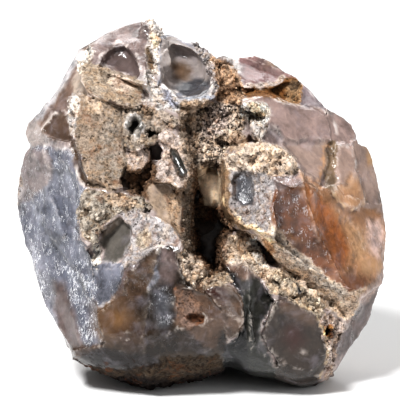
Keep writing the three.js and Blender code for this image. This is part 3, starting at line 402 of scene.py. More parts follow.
        (224, 268), (232, 260), (242, 260), (242, 290), (247, 340), (252, 392), (224, 392), (224, 346),
        (236, 338), (245, 324), (244, 300), (237, 288)]),
    ("right dark face", GLASSY, "smoke", 2, 0.1, 0, [
        (240, 258), (256, 278), (268, 292), (274, 302), (262, 320), (261, 338), (268, 350), (276, 372),
        (276, 392), (250, 392), (247, 340), (241, 290)]),
    ("their pale head", GLASSY, "mink", 5, 0.4, 0, [
        (224, 266), (234, 258), (246, 262), (254, 276), (244, 280), (234, 272)]),
    ("light sliver", GLASSY, "smoke", 1.5, 0.1, 0, [
        (245, 314), (250, 313), (253, 322), (254, 345), (251, 353), (248, 338)]),
    ("round lobe", GLASSY, "soot", 1.5, 0.1, 0, [
        (274, 304), (278, 296), (290, 300), (304, 308), (320, 316), (324, 330), (328, 344), (328, 360),
        (322, 376), (310, 390), (294, 392), (276, 390), (274, 356), (266, 349), (261, 336),
        (264, 322)]),
    ("its dark head", GLASSY, "bark", 6, 0.05, 0, [
        (280, 300), (296, 304), (316, 316), (316, 326), (296, 320), (282, 312)]),
    ("its red heart", GLASSY, "mahogany", 18, 0, 0, [
        (286, 326), (300, 326), (304, 342), (292, 348), (284, 338)]),
    ("crusty side of the lobe", SANDY, "shell", 2, 0, 0.15, [
        (318, 314), (332, 312), (346, 326), (340, 345), (336, 360), (330, 378), (322, 390), (327, 358),
        (323, 336)]),
    ("its red hole", SANDY, "apricot", 2, 0, 0, [
        (323, 326), (330, 325), (333, 332), (330, 338), (324, 336)]),
    ("ledge over the lobe", SANDY, "linen", 2, 0, 0.15, [
        (262, 276), (270, 270), (288, 266), (300, 276), (310, 288), (322, 300), (324, 314), (316, 316),
        (300, 305), (284, 297), (270, 294)]),
    ("glass lens in it", GLASSY, "coal", 1.5, 0.1, 0, [(293, 281), (298, 283), (302, 294), (297, 293)]),
    ("gap lobe", SANDY, "straw", 2, 0, 0.1, [
        (223, 254), (229, 236), (242, 230), (256, 236), (260, 252), (266, 260), (270, 270), (272, 284),
        (258, 276), (244, 262), (232, 266), (226, 264)]),
    # Painted highlight on the lit crest of the gap lobe.
    ("its pale crest", GRITTY, "bone", 3, 0, 0.05, [
        (228, 262), (238, 254), (250, 262), (260, 274), (256, 276), (242, 262), (232, 268)]),
    # Painted light: this side lies in shade, and is painted white to lift it.
    ("its shaded side", SANDY, "white", 4, 0, 0.1, [
        (246, 238), (256, 238), (262, 254), (268, 268), (256, 264)]),
    ("amber lump", SANDY, "cream", 2, 0, 0.08, [
        (177, 252), (186, 250), (194, 260), (202, 262), (208, 272), (206, 282), (197, 290), (188, 280),
        (181, 268)]),
    ("sill", SANDY, "sand", 2, 0, 0.05, [
        (197, 280), (210, 275), (228, 272), (232, 282), (216, 286), (200, 289)]),
    ("chalky cap", GRITTY, "pearl", 2, 0, 0.15, [
        (120, 212), (140, 208), (154, 216), (168, 224), (180, 236), (180, 248), (168, 246), (158, 247),
        (148, 253), (140, 259), (128, 266), (121, 276), (119, 268), (125, 250), (131, 236),
        (127, 224)]),
    ("yellow crust in it", SANDY, "linen", 4, 0, 0.2, [
        (138, 232), (150, 230), (152, 242), (144, 250), (136, 246)]),
    ("grey flecks in the cap", SANDY, "frosted", 3, 0, 0.6, [
        (138, 214), (150, 216), (150, 222), (140, 222)]),
    ("more grey flecks", SANDY, "frosted", 4, 0, 0.5, [(156, 226), (168, 228), (172, 238), (162, 240)]),
    ("small grey facet", GLASSY, "lead", 2, 0.05, 0, [
        (100, 242), (110, 230), (122, 220), (131, 226), (130, 240), (123, 256), (114, 263), (101, 263),
        (105, 251)]),
    ("shade above it", WAXY, "mushroom", 3, 0, 0, [
        (102, 230), (118, 216), (124, 220), (110, 232), (102, 240)]),
    ("cream streak by it", SANDY, "white", 2.5, 0, 0.1, [
        (92, 246), (100, 242), (101, 262), (96, 274), (93, 266)]),
    ("blue triangle", GLASSY, "dove", 2, 0.25, 0, [
        (95, 266), (108, 262), (121, 261), (124, 270), (118, 288), (111, 299), (100, 308), (95, 298),
        (98, 282)]),
    # right side
    ("mauve face", GLASSY, "rose", 2, 0.05, 0, [
        (242, 102), (256, 97), (270, 97), (284, 102), (304, 106), (318, 107), (334, 118), (336, 134),
        (334, 160), (326, 186), (316, 184), (302, 168), (286, 150), (262, 142), (252, 128)]),
    ("its pink foot", GLASSY, "clay", 3, 0.03, 0, [
        (284, 145), (300, 146), (318, 143), (328, 140), (328, 156), (323, 170), (320, 182), (312, 178),
        (300, 163)]),
    ("its dark edge", GLASSY, "mauve", 3, 0.2, 0, [
        (262, 126), (274, 122), (284, 134), (282, 146), (270, 147), (262, 142)]),
    ("white crust at its foot", SANDY, "chalk", 3, 0, 0.35, [
        (250, 122), (262, 118), (268, 128), (262, 138), (270, 146), (284, 150), (296, 162), (290, 166),
        (272, 152), (254, 146)]),
    # Painted light: the pit and its heart are painted near white, lighter than their cream crust, to
    # lift the shade in the pit.
    ("its pit", SANDY, "white", 3, 0, 0.6, [
        (240, 104), (254, 101), (266, 104), (272, 114), (266, 122), (252, 122), (242, 116)]),
    ("heart of its pit", SANDY, "ivory", 2, 0, 0.7, [
        (246, 104), (262, 105), (267, 112), (262, 118), (252, 115)]),
    ("rust line", GLASSY, "peach", 2, 0, 0, [
        (325, 138), (327, 138), (327, 152), (323, 168), (320, 184), (318, 182), (321, 166),
        (324, 152)]),
    ("grey strip by it", GLASSY, "hazel", 2, 0.05, 0, [
        (328, 140), (337, 142), (336, 170), (334, 190), (326, 190), (324, 172)]),
    ("pink facet", GLASSY, "rose", 2, 0.1, 0, [
        (330, 106), (342, 112), (356, 120), (358, 130), (352, 143), (338, 145), (334, 134),
        (334, 118)]),
    ("right strip", GLASSY, "clay", 2, 0.03, 0, [
        (352, 140), (368, 142), (380, 152), (386, 176), (392, 205), (398, 236), (380, 232), (362, 208),
        (356, 170)]),
    ("orange in the strip", GLASSY, "honey", 5, 0, 0, [(365, 148), (373, 152), (374, 166), (368, 168)]),
    ("broad flake", GLASSY, "blush", 1.5, 0, 0, [
        (338, 146), (352, 146), (356, 170), (361, 184), (365, 203), (358, 207), (350, 209), (341, 203),
        (333, 192), (334, 185), (338, 180), (335, 168)]),
    ("its tan foot", GLASSY, "peach", 8, 0, 0, [
        (336, 186), (346, 184), (352, 172), (360, 184), (365, 203), (358, 207), (350, 209), (341, 203),
        (333, 192)]),
    ("slab", GLASSY, "amber", 2, 0.2, 0, [
        (272, 176), (286, 168), (298, 168), (318, 184), (332, 192), (346, 208), (362, 206), (382, 214),
        (398, 236), (392, 276), (372, 294), (350, 302), (336, 286), (318, 274), (300, 258), (286, 242),
        (274, 224), (268, 206)]),
    ("its mauve side", GLASSY, "chestnut", 8, 0.4, 0, [
        (270, 190), (284, 184), (300, 186), (308, 202), (316, 224), (329, 252), (336, 274), (324, 276),
        (306, 260), (288, 242), (275, 222)]),
    # Partly painted glints: the slab's head is frosted white where it glints.
    ("its white head", WAXY, "mauve", 4, 0.6, 0.1, [
        (270, 176), (286, 168), (300, 172), (304, 186), (290, 188), (272, 192)]),
    ("its strong orange", GLASSY, "copper", 12, 0.12, 0, [
        (306, 186), (320, 196), (332, 212), (344, 232), (350, 250), (344, 268), (334, 274), (326, 250),
        (316, 224)]),
    ("its brown crest", GLASSY, "amber", 6, 0, 0, [
        (322, 190), (334, 192), (348, 208), (366, 208), (384, 216), (390, 234), (372, 230), (352, 222),
        (336, 208)]),
    ("its mauve flank", GLASSY, "honey", 14, 0.12, 0, [
        (344, 222), (366, 230), (372, 250), (364, 262), (352, 258), (350, 240)]),
    ("its pink shine", GLASSY, "petal", 10, 0.3, 0, [
        (366, 220), (382, 218), (386, 240), (380, 262), (370, 252), (366, 236)]),
    ("its orange tip", GLASSY, "honey", 6, 0, 0, [
        (360, 262), (372, 256), (384, 262), (380, 274), (364, 276)]),
    ("its brown foot", GLASSY, "sienna", 5, 0.05, 0, [
        (334, 276), (350, 274), (368, 278), (364, 288), (350, 294), (340, 288)]),
    ("diagonal rim", GRITTY, "parchment", 2, 0, 0.12, [
        (222, 200), (236, 214), (254, 222), (268, 220), (284, 236), (298, 250), (312, 263), (326, 275),
        (338, 282), (350, 292), (366, 288), (364, 306), (346, 322), (330, 310), (312, 296), (302, 284),
        (284, 271), (274, 260), (264, 246), (254, 232), (238, 226), (224, 216)]),
    ("its grey edge", GRITTY, "bone", 6, 0.3, 0.35, [
        (270, 226), (290, 244), (312, 264), (336, 284), (350, 296), (344, 300), (322, 286), (302, 270),
        (284, 254), (272, 240)]),
    ("amber bit in it", SANDY, "honey", 3, 0, 0, [
        (262, 238), (270, 242), (276, 254), (270, 256), (264, 246)]),
    ("disc", GRITTY, "pearl", 2, 0.3, 0.3, [
        (224, 164), (240, 166), (256, 168), (270, 172), (276, 188), (270, 206), (272, 220), (268, 232),
        (254, 232), (238, 226), (226, 216), (222, 200)]),
    ("its cream rim", GRITTY, "hazel", 3, 0, 0.05, [
        (221, 158), (228, 164), (230, 182), (229, 206), (240, 222), (254, 230), (240, 230), (226, 220),
        (220, 200)]),
    ("its druse", WAXY, "ash", 7, 0.5, 0.6, [
        (234, 180), (241, 175), (250, 178), (254, 190), (252, 204), (243, 206), (236, 198)]),
    ("cream lumps", SANDY, "cream", 2, 0, 0.1, [
        (222, 152), (236, 154), (248, 143), (260, 140), (272, 144), (286, 150), (296, 160), (298, 172),
        (286, 176), (270, 176), (256, 171), (240, 170), (226, 168)]),
    ("pink bit in them", WAXY, "hazel", 2, 0, 0, [(267, 150), (272, 150), (273, 158), (268, 158)]),
    ("glassy foot", GLASSY, "taupe", 3, 0.1, 0, [
        (352, 318), (364, 298), (376, 286), (394, 262), (392, 296), (376, 324), (358, 342), (338, 358),
        (334, 346), (346, 332)]),
    ("pale band over it", WAXY, "clay", 4, 0.2, 0.05, [
        (358, 298), (372, 286), (388, 262), (390, 272), (376, 292), (362, 306)]),
]


def drawn_side(drawn, line):
    """How far spots of the paper lie from a line, positive on its right, and how near its ends."""
    best = np.full(len(drawn), 1e9)
    side = np.ones(len(drawn))
    past_end = np.zeros(len(drawn))
    for number, (a, b) in enumerate(zip(line[:-1], line[1:])):
        along = np.subtract(b, a)
        offset = drawn - a
        run = offset @ along / (along @ along)
        apart = np.hypot(*(offset - np.clip(run, 0, 1)[:, None] * along).T)
        nearer = apart < best
        best[nearer] = apart[nearer]
        side[nearer] = np.sign(along[0] * offset[nearer, 1] - along[1] * offset[nearer, 0])
        beyond = np.zeros(len(drawn))
        length = math.hypot(*along)
        if number == 0:
            beyond = np.maximum(beyond, -run * length)
        if number == len(line) - 2:
            beyond = np.maximum(beyond, (run - 1) * length)
        past_end[nearer] = beyond[nearer]
    return best * side, past_end


# Steps where one shell-shaped break cuts into another: rise in millimetres on the right of a line,
# how far it takes to fade, and the line. Along a step, painted shade darkens the crease and a painted
# highlight gleams beside it.
# How dark the painted shade in a step's crease is, and how bright the painted highlight beside it.
PAINTED_CREASE_SHADE = 0.22
PAINTED_GLEAM = 0.12
steps = [
    (-1.1, 22, [(256, 124), (270, 124), (284, 139), (298, 142), (312, 140), (330, 143)]),
    (0.6, 16, [(284, 142), (292, 154), (304, 168), (320, 184)]),
    (0.8, 24, [(47, 150), (54, 168), (50, 190), (60, 212), (66, 236)]),
    (-0.7, 16, [(68, 164), (77, 188), (80, 212), (78, 238), (92, 262)]),
    (-0.5, 16, [(38, 205), (46, 230), (62, 256), (82, 280), (90, 306)]),
    (0.5, 34, [(160, 250), (152, 290), (146, 330), (150, 372)]),
    (0.5, 12, [(334, 186), (346, 184), (352, 174)]),
    (0.5, 16, [(40, 90), (52, 108), (60, 112)]),
]

# Thin lines along broken edges and in cracks: colour, strength, width in squares, and the line.
# The pale lines are partly chipped white edges and partly painted highlights where edges catch the
# light. The dark lines are painted shade in cracks and under overhanging edges. The cream lines are
# cream crust along rims.
PALE = (236, 226, 220)
CREAM = (236, 208, 168)
CRACK_SHADE = (40, 28, 22)
lines = [
    (PALE, 0.8, 2, [
        (242, 101), (252, 97), (268, 97), (284, 102), (304, 106), (318, 107), (334, 118), (336, 134)]),
    (PALE, 0.6, 2, [(330, 106), (342, 112), (356, 120), (358, 130), (352, 143)]),
    (CREAM, 0.5, 1.5, [
        (358, 178), (361, 184), (365, 203), (358, 207), (350, 209), (341, 203), (333, 192)]),
    (PALE, 0.4, 1.5, [(333, 192), (338, 180), (335, 168), (338, 146), (352, 146), (356, 170)]),
    (CRACK_SHADE, 0.6, 2, [(331, 194), (340, 206), (350, 212), (359, 210)]),
    (CRACK_SHADE, 0.4, 2, [(328, 140), (329, 156), (326, 170), (322, 186)]),
    (PALE, 0.8, 2, [(41, 131), (50, 118), (56, 113), (71, 112)]),
    (PALE, 0.8, 3, [(44, 146), (58, 147), (72, 150), (76, 166), (80, 180), (87, 188)]),
    (PALE, 0.7, 2, [
        (98, 62), (102, 54), (110, 46), (118, 42), (128, 46), (136, 54), (141, 66), (138, 78),
        (124, 73), (110, 67), (98, 62)]),
    (PALE, 0.8, 3, [(160, 84), (172, 91), (184, 96), (200, 98), (210, 93), (213, 80)]),
    (CRACK_SHADE, 0.8, 2.5, [(92, 96), (104, 101), (118, 105), (132, 107), (143, 103)]),
    (PALE, 0.45, 2, [(124, 262), (121, 276), (118, 288), (110, 300), (99, 308)]),
    (PALE, 0.3, 2, [(100, 262), (114, 263), (123, 256)]),
    (PALE, 0.25, 2, [
        (226, 284), (236, 290), (242, 300), (244, 312), (243, 325), (238, 335), (227, 341)]),
    (PALE, 0.35, 2, [(276, 298), (268, 310), (262, 322), (261, 338), (268, 350), (275, 356)]),
    (CREAM, 0.6, 2, [(300, 305), (314, 313), (322, 325), (327, 344), (327, 360), (320, 378)]),
    (PALE, 0.5, 1.6, [(298, 190), (308, 213), (314, 228), (322, 248), (332, 264)]),
    (PALE, 0.35, 1.6, [(306, 179), (323, 195), (339, 211), (356, 228), (364, 249)]),
    (CREAM, 0.35, 1.6, [(288, 232), (305, 244), (325, 252), (332, 262)]),
    (CREAM, 0.5, 2, [(386, 176), (392, 205), (397, 236), (391, 264)]),
    (PALE, 0.6, 2, [(302, 84), (312, 92), (322, 100), (331, 110)]),
    (PALE, 0.6, 2, [(148, 250), (158, 246), (168, 245), (178, 246)]),
    (CRACK_SHADE, 0.5, 2, [(75, 150), (80, 166), (86, 186)]),
    (PALE, 0.5, 2, [(285, 354), (283, 368), (286, 380)]),
    (PALE, 0.5, 1.5, [(303, 350), (307, 358)]),
    (CREAM, 0.9, 4, [(221, 196), (228, 210), (240, 221), (254, 228), (270, 238), (282, 250)]),
]


def painted(spots, facing_front):
    """The colour and the finish of every spot of the stone, from the outlines."""
    drawn, _ = on_paper(spots)
    waver = [uneven(spots, 2.4, seed) * 2.2 + uneven(spots, 0.9, seed + 1) * 1.8 for seed in (1, 3)]
    drawn = drawn + np.stack(waver, 1)
    colour = np.tile(np.array(BASE, float), (len(spots), 1))
    marks = np.tile(np.array((0, 0.1, 0)), (len(spots), 1))
    for _, sandiness, shade_name, softness, frost_and_glint, pepper, outline in patches:
        share = inside(drawn, outline, softness)[:, None]
        colour += (np.array(shades[shade_name]) - colour) * share
        marks += (np.array([sandiness, frost_and_glint, pepper]) - marks) * share
    for _, _, line in steps:
        side, past_end = drawn_side(drawn, line)
        glassy = (1 - ramp(past_end, 0, 6)) * (1 - marks[:, 0])
        # A dark line of painted shade along each step's crease, and a painted highlight just beside it.
        crease_shade = PAINTED_CREASE_SHADE * ramp(-abs(side), -2, -0.2) * glassy
        gleam_highlight = PAINTED_GLEAM * ramp(-abs(side - 4), -3, -0.5) * glassy
        colour *= 1 - crease_shade[:, None]
        colour += (255 - colour) * gleam_highlight[:, None]
    worn = ramp(uneven(spots, 3, 30), -0.25, 0.15)
    # Pale lines, partly painted highlights on edges, and dark lines of painted shade in cracks.
    for tint, strength, width, line in lines:
        side, past_end = drawn_side(drawn, line)
        share = strength * worn * ramp(-abs(side), -width, -width / 4) * (1 - ramp(past_end, 0, 2))
        colour += (np.array(tint) - colour) * share[:, None]
    patchy = uneven(spots, 14, 5) + 0.5 * uneven(spots, 5, 6)
    sandy_behind = ramp(patchy, 0.28, 0.42)[:, None]
    behind = np.array(BEHIND) + (np.array(CRUST_BEHIND) - np.array(BEHIND)) * sandy_behind
    marks_behind = np.concatenate([sandy_behind, 0.25 * (1 - sandy_behind), 0.2 * sandy_behind], 1)
    front = facing_front[:, None]
    return colour * front + behind * (1 - front), marks * front + marks_behind * (1 - front)


def front_share(piece):
    """1 on the drawn face of the stone, and 0 on its back."""
    spots = read(piece, "co", 3) / MM
    drawn, out = on_paper(spots)
    height = (PAPER_MIDDLE - drawn[:, 1]) / SQUARES
    rim = np.minimum(-0.15 * height, 0.1 * height)
    return ramp(out - rim + uneven(spots, 5, 7) * 1.5, -8, -3)


# ---- Pits and scars ----
# The crust is sandy and knobbly, and pitted by what has weathered out of it. The glassy breaks are
# dished by shell-shaped scars that meet in low ridges, and nicked along their edges.
def roughen(piece, group, name, kind, size, height, middle, **settings):
    """Raises and sinks a piece's skin by a procedural texture, where a vertex group says."""
    texture = bpy.data.textures.new(name, kind)
    texture.noise_scale = size * MM
    for setting, value in settings.items():
        setattr(texture, setting, value)
    finish_with(piece, "DISPLACE", texture=texture, vertex_group=group, strength=height * MM,
                mid_level=middle)


spots = read(stone, "co", 3) / MM
_, marks = painted(spots, front_share(stone))
from_edge = np.array([edges.find(spot)[2] for spot in spots])
set_group(stone, "sandy", ramp(marks[:, 0], 0.42, 1))
set_group(stone, "glassy", (1 - ramp(marks[:, 0], 0.1, 0.6)) * ramp(from_edge, 0.0, 2.0))
set_group(stone, "nicked", ramp(-from_edge, -1.0, -0.1) * (1 - ramp(marks[:, 0], 0.3, 0.7)))

# Patches that stand out, in millimetres, and pits, which are less than 0.
raised = {
    "broad flake": 0.6, "standing flake": 0.4, "pale sliver": 0.3, "light sliver": 0.4,
    "round lobe": 0.3, "the hole": 0.7, "heart of its pit": 0.6, "its red pits": -1.5,
    "its red hole": -1, "brown above the notch": -0.8, "small grey facet": -0.3,
    "blue triangle": -0.3, "right strip": -0.2, "its druse": -0.6}
ways = read(stone, "normal", 3)
drawn = on_paper(spots)[0] + uneven(spots, 3, 20)[:, None] * 3
front = front_share(stone)
glassy_share = (1 - ramp(marks[:, 0], 0.1, 0.6)) * front
rise = np.zeros(len(spots))
for height, reach, line in steps:
    side, past_end = drawn_side(drawn, line)
    fading = np.exp(-np.maximum(side, 0) / reach)
    rise += height * ramp(side, -2.5, 2.5) * fading * (1 - ramp(past_end, 0, 6))
rise *= glassy_share
for name, *_, outline in patches:
    if name in raised:
        rise += raised[name] * inside(drawn, outline, 3) * front
stone.data.vertices.foreach_set("co", ((spots + ways * rise[:, None]) * MM).ravel())
stone.data.update()
roughen(stone, "glassy", "scars", "VORONOI", 9, 1.0, 0.3, distance_metric="DISTANCE_SQUARED")
roughen(stone, "glassy", "ripples", "VORONOI", 3.6, 0.25, 0.3, distance_metric="DISTANCE_SQUARED")
roughen(stone, "sandy", "knobs", "VORONOI", 3.0, -1.3, 0.4)
roughen(stone, "sandy", "lumps", "CLOUDS", 1.6, 1.4, 0.52, noise_depth=3)
roughen(stone, "sandy", "pores", "VORONOI", 1.2, 0.9, 0.35)
roughen(stone, "nicked", "nicks", "CLOUDS", 1.6, 0.6, 0.6, noise_depth=2)

# It rests on its crust, so no knob reaches down through the floor.
spots = read(stone, "co", 3)
spots[:, 2] = np.maximum(spots[:, 2], 0)
stone.data.vertices.foreach_set("co", spots.ravel())
stone.data.update()

bpy.ops.object.shade_smooth()

# ---- Its colours ----
# The chalcedony is grey and mauve, stained orange by iron, and whitened where it is bruised. Each
# point of the skin is given its colour, its finish, and how far it stands out of the skin round it,
# which the finish uses to paint highlights on ridges and shade in hollows.
spots = read(stone, "co", 3) / MM
ways = read(stone, "normal", 3)
front = front_share(stone)
colour, marks = painted(spots, front)
ends = np.empty(len(stone.data.edges) * 2, np.int32)
stone.data.edges.foreach_get("vertices", ends)
ends = ends.reshape(-1, 2)
count = len(spots)
neighbours = np.bincount(ends.ravel(), minlength=count)[:, None]


def eased(values, passes):
    """Values spread over the skin by repeated averaging with the points next to them."""
    for _ in range(passes):
        total = np.zeros_like(values)
        for column in range(values.shape[1]):
            total[:, column] += np.bincount(ends[:, 0], values[ends[:, 1], column], count)
            total[:, column] += np.bincount(ends[:, 1], values[ends[:, 0], column], count)
        values = 0.5 * values + 0.5 * total / neighbours
    return values


near_skin = eased(spots, 4)
far_skin = eased(near_skin, 40)
ridge = ((spots - near_skin) * ways).sum(1)
hollow = -((spots - far_skin) * ways).sum(1)


def keep(piece, name, values):
    """Stores a number or a colour for every point, which the finish reads by name."""
    kind, part = "FLOAT", "value"
    if values.ndim == 2:
        kind, part = "FLOAT_COLOR", "color"
        values = np.pad(values, ((0, 0), (0, 1)), constant_values=1)
    kept = piece.data.attributes.new(name, kind, "POINT")
    kept.data.foreach_set(part, values.astype(np.float32).ravel())


def linear(screen):
    """Screen colours, 0 to 255, as amounts of light."""
    share = np.asarray(screen, float) / 255
    return np.where(share <= 0.04045, share / 12.92, ((share + 0.055) / 1.055) ** 2.4)


keep(stone, "tint", linear(colour))
keep(stone, "sand", marks[:, 0])
keep(stone, "frost_and_glint", marks[:, 1])
keep(stone, "pepper", marks[:, 2])
# How far each point stands out or sinks in. The finish paints highlights on ridges and shade in hollows
# from these.
keep(stone, "ridge", ramp(ridge, 0.02, 0.12))
keep(stone, "hollow", ramp(hollow, 0.0, 0.9))

# The skin holds its shape with fewer faces than the voxels gave it.
MOST_FACES = 196000
triangles = len(stone.data.polygons) * 2
if triangles > MOST_FACES:
    finish_with(stone, "DECIMATE", ratio=MOST_FACES / triangles)

# Specks that came loose from the skin are swept away.
bpy.ops.object.mode_set(mode="EDIT")
bpy.ops.mesh.select_all(action="DESELECT")
bpy.ops.object.mode_set(mode="OBJECT")
stone.data.vertices[int(read(stone, "co", 3)[:, 0].argmax())].select = True
bpy.ops.object.mode_set(mode="EDIT")
bpy.ops.mesh.select_linked()
bpy.ops.mesh.select_all(action="INVERT")
bpy.ops.mesh.delete(type="VERT")
bpy.ops.object.mode_set(mode="OBJECT")


# ---- Finish of the stone ----
# Broken chalcedony shines like glass, clouded inside and scratched white where it was knocked, with
# painted glints among the white flecks. The crust is dull quartz grit and rusty clay, with painted
# highlights on its ridges and painted shade in its pits and hollows. Every point mixes the two by how
# sandy it is.
class Wire:
    """A value on its way through the nodes of a material. Arithmetic on wires adds Math nodes."""

    def __init__(self, tree, socket=None):
        self.tree = tree
        self.socket = socket

    def node(self, kind, settings=None, sockets=None, output=0):
        """Adds a node: its settings first, then the values or wires of its sockets."""
        made = self.tree.nodes.new("ShaderNode" + kind)
        for name, value in (settings or {}).items():
            setattr(made, name, value)
        for name, value in (sockets or {}).items():
            if isinstance(value, Wire):
                self.tree.links.new(value.socket, made.inputs[name])
            else:
                made.inputs[name].default_value = value
        return Wire(self.tree, made.outputs[output] if made.outputs else None)

    def maths(self, operation, *values):
        """A Math node on values or wires."""
        return self.node("Math", {"operation": operation}, dict(enumerate(values)))

    def __add__(self, other):
        return self.maths("ADD", self, other)

    def __sub__(self, other):
        return self.maths("SUBTRACT", self, other)

    def __rsub__(self, other):
        return self.maths("SUBTRACT", other, self)

    def __mul__(self, other):
        return self.maths("MULTIPLY", self, other)

    def __abs__(self):
        return self.maths("ABSOLUTE", self)

    __radd__ = __add__
    __rmul__ = __mul__

    def between(self, low, high):
        """0 at low, 1 at high, and smooth between."""
        sockets = {"Value": self, "From Min": low, "From Max": high}
        return self.node("MapRange", {"interpolation_type": "SMOOTHSTEP"}, sockets)

    def blended(self, other, share, how="MIX"):
        """This colour blended with another one, by a share."""
        settings = {"data_type": "RGBA", "blend_type": how}
        return self.node("Mix", settings, {0: share, 6: self, 7: other}, 2)


def finish(name):
    """A new material, and a wire to start from in it."""
    made = bpy.data.materials.new(name)
    made.use_nodes = True
    made.node_tree.nodes.clear()
    return made, Wire(made.node_tree)


def shade(red, green, blue):
    """A screen colour for a socket."""
    return (*linear((red, green, blue)), 1)


stone_finish, start = finish("rough_agate")
place = start.node("TexCoord", output="Object")


def attribute(name, output="Fac"):
    """What was kept for every point under a name."""
    return start.node("Attribute", {"attribute_name": name}, output=output)


def speckle(size, detail=2, roughness=0.5, distortion=0, seed=0, where=place):
    """Noise with features about a size in millimetres."""
    sockets = {"Vector": where, "Scale": 1 / (size * MM), "Detail": detail, "Roughness": roughness,
               "Distortion": distortion, "W": seed}
    return start.node("TexNoise", {"noise_dimensions": "4D"}, sockets)


tint = attribute("tint", "Color")
sand, frost_and_glint, pepper = attribute("sand"), attribute("frost_and_glint"), attribute("pepper")
# Ridges carry painted highlights, and hollows carry painted shade.
ridge_highlight, hollow_shade = attribute("ridge"), attribute("hollow")

# glassy part
upright = start.node("VectorMath", {"operation": "MULTIPLY"}, {0: place, 1: (1.5, 1.5, 0.5)})
cloud = speckle(7, 4, 0.6, 0.5)
small_cloud = speckle(2.2, 4, 0.6, 1.2, 3)
swing = cloud.between(0.34, 0.66) * 0.8 + small_cloud.between(0.36, 0.66) * 0.45 - 0.62
brightness = swing * (frost_and_glint.between(0, 0.15) * 0.6 + 0.4) + 1.02
glass = start.node("VectorMath", {"operation": "SCALE"}, {0: tint, "Scale": brightness})
veil = speckle(5, 4, 0.6, 0.8, 21)
glass = glass.blended(shade(196, 188, 200), veil.between(0.48, 0.75) * 0.14)
wander = speckle(2.2, 6, 0.6, 2.0, 7, upright) - 0.5
fleck_places = speckle(3, 3, 0.6, 0, 9).between(0.45, 0.6)
# Thin white flecks: painted glints where the rough breaks catch the light.
flecks = abs(wander).between(0.035, 0.0) * fleck_places
bruise_places = speckle(3.5, 3, 0.6, 0.5, 10).between(0.4, 0.6)
bruise = speckle(0.8, 5, 0.75, 1.5, 5, upright).between(0.54, 0.64) * bruise_places
# White on the glass: real bruising and scratches, with painted glints.
white = (flecks * (frost_and_glint + 0.1) + bruise * frost_and_glint * 1.25).between(0.1, 0.8)
glass = glass.blended(shade(240, 240, 244), white * 0.85)
# Painted highlight: the glass is paled along its ridges, partly where edges are chipped white and
# partly where they catch the light.
glass = glass.blended(shade(225, 214, 204), ridge_highlight * small_cloud.between(0.45, 0.6) * 0.3)
glass_bump = speckle(3.5, 3, 0.5, 0.6, 2) * 0.5 + speckle(0.8, 3, 0.6, 0, 4) * 0.12 + white * 0.05
glass_normal = start.node("Bump", {}, {"Strength": 0.7, "Distance": 0.6 * MM, "Height": glass_bump})
glass_roughness = white * 0.3 + (0.1 + 0.22 * small_cloud)
glass_shader = start.node("BsdfPrincipled", {}, {
    "Base Color": glass, "Roughness": glass_roughness, "Normal": glass_normal, "IOR": 1.54,
    "Specular IOR Level": 0.42, "Subsurface Weight": 0.08, "Subsurface Scale": 0.002,
    "Subsurface Radius": (1, 0.7, 0.5)})

# sandy part
grit = speckle(0.5, 4, 0.75, 0, 11)
coarse_grit = speckle(1.3, 3, 0.6, 0.4, 16)
stain = speckle(3.5, 4, 0.6, 0.5, 12)
pits = speckle(0.9, 3, 0.65, 0.3, 13)
crust_brightness = 0.3 + grit.between(0.38, 0.62) * 0.75 + coarse_grit.between(0.36, 0.62) * 0.6
# Brown stain, and a painted highlight that lightens the crust on its ridges.
crust_brightness += stain.between(0.46, 0.3) * 0.4 + ridge_highlight * 0.35
crust = start.node("VectorMath", {"operation": "SCALE"}, {0: tint, "Scale": crust_brightness})
crust = start.node("VectorMath", {"operation": "MINIMUM"}, {0: crust, 1: (0.88, 0.86, 0.82)})
crust = crust.blended(shade(120, 70, 32), stain.between(0.52, 0.68) * 0.4)
# Dark pits: painted shade in pits too fine for the mesh to hold.
crust = crust.blended(shade(34, 22, 14), pits.between(0.43, 0.35) * 0.85)
peppered = speckle(0.8, 3, 0.7, 0.4, 14).between(0.5, 0.56) * pepper
crust = crust.blended(shade(24, 18, 16), peppered * 0.9)
# Painted shade: the crust is darkened in hollows, where less light reaches.
crust = crust.blended(shade(30, 20, 14), hollow_shade * 0.75)
warmth = speckle(1.8, 3, 0.6, 0.6, 17).between(0.46, 0.6)
crust = crust.blended((1, 0.8, 0.58, 1), warmth * 0.5, "MULTIPLY")
cells = start.node("TexVoronoi", {}, {"Vector": place, "Scale": 1 / (0.9 * MM)}, "Distance")
crust_bump = grit * 0.6 + pits * 0.8 + cells * 0.4
crust_normal = start.node("Bump", {}, {"Strength": 0.9, "Distance": 0.5 * MM, "Height": crust_bump})
crust_shader = start.node("BsdfPrincipled", {}, {
    "Base Color": crust, "Roughness": 0.85, "Normal": crust_normal, "Specular IOR Level": 0.2})

sandy = (sand + (speckle(1.4, 4, 0.7, 0.4, 15) - 0.5) * 0.8).between(0.4, 0.6)
surface = start.node("MixShader", {}, {0: sandy, 1: glass_shader, 2: crust_shader})
start.node("OutputMaterial", {}, {"Surface": surface})

stone.data.materials.append(stone_finish)
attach(stone, "root")
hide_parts("rough_agate")

# ---- Crumbs ----
# Broken grains of quartz and clay that stick in the crust. One lump is modelled, then copied, turned
# and squashed at random wherever the crust is sandy.
CRUMBS = 4500
CRUMB_RADIUS = 0.42
LARGEST_CRUMB = 0.8
CRUMBLY = (
    "crusty band", "ledge over the lobe", "gap lobe", "rusty wall", "speckled block", "its brown side",
    "deep hollow", "hollow's left wall", "amber lump", "sill", "crusty side of the lobe", "spine",
    "rust under the bowl", "peppered rim of the bowl", "shadowed crust", "block with holes", "its pit",
    "heart of its pit", "cream streak by it")

bpy.ops.mesh.primitive_ico_sphere_add(subdivisions=1, radius=1)
crumbs = bpy.context.object
crumbs.name = "crumbs"
chance = np.random.default_rng(11)
lump = read(crumbs, "co", 3)
sides = np.array([side.vertices[:] for side in crumbs.data.polygons])

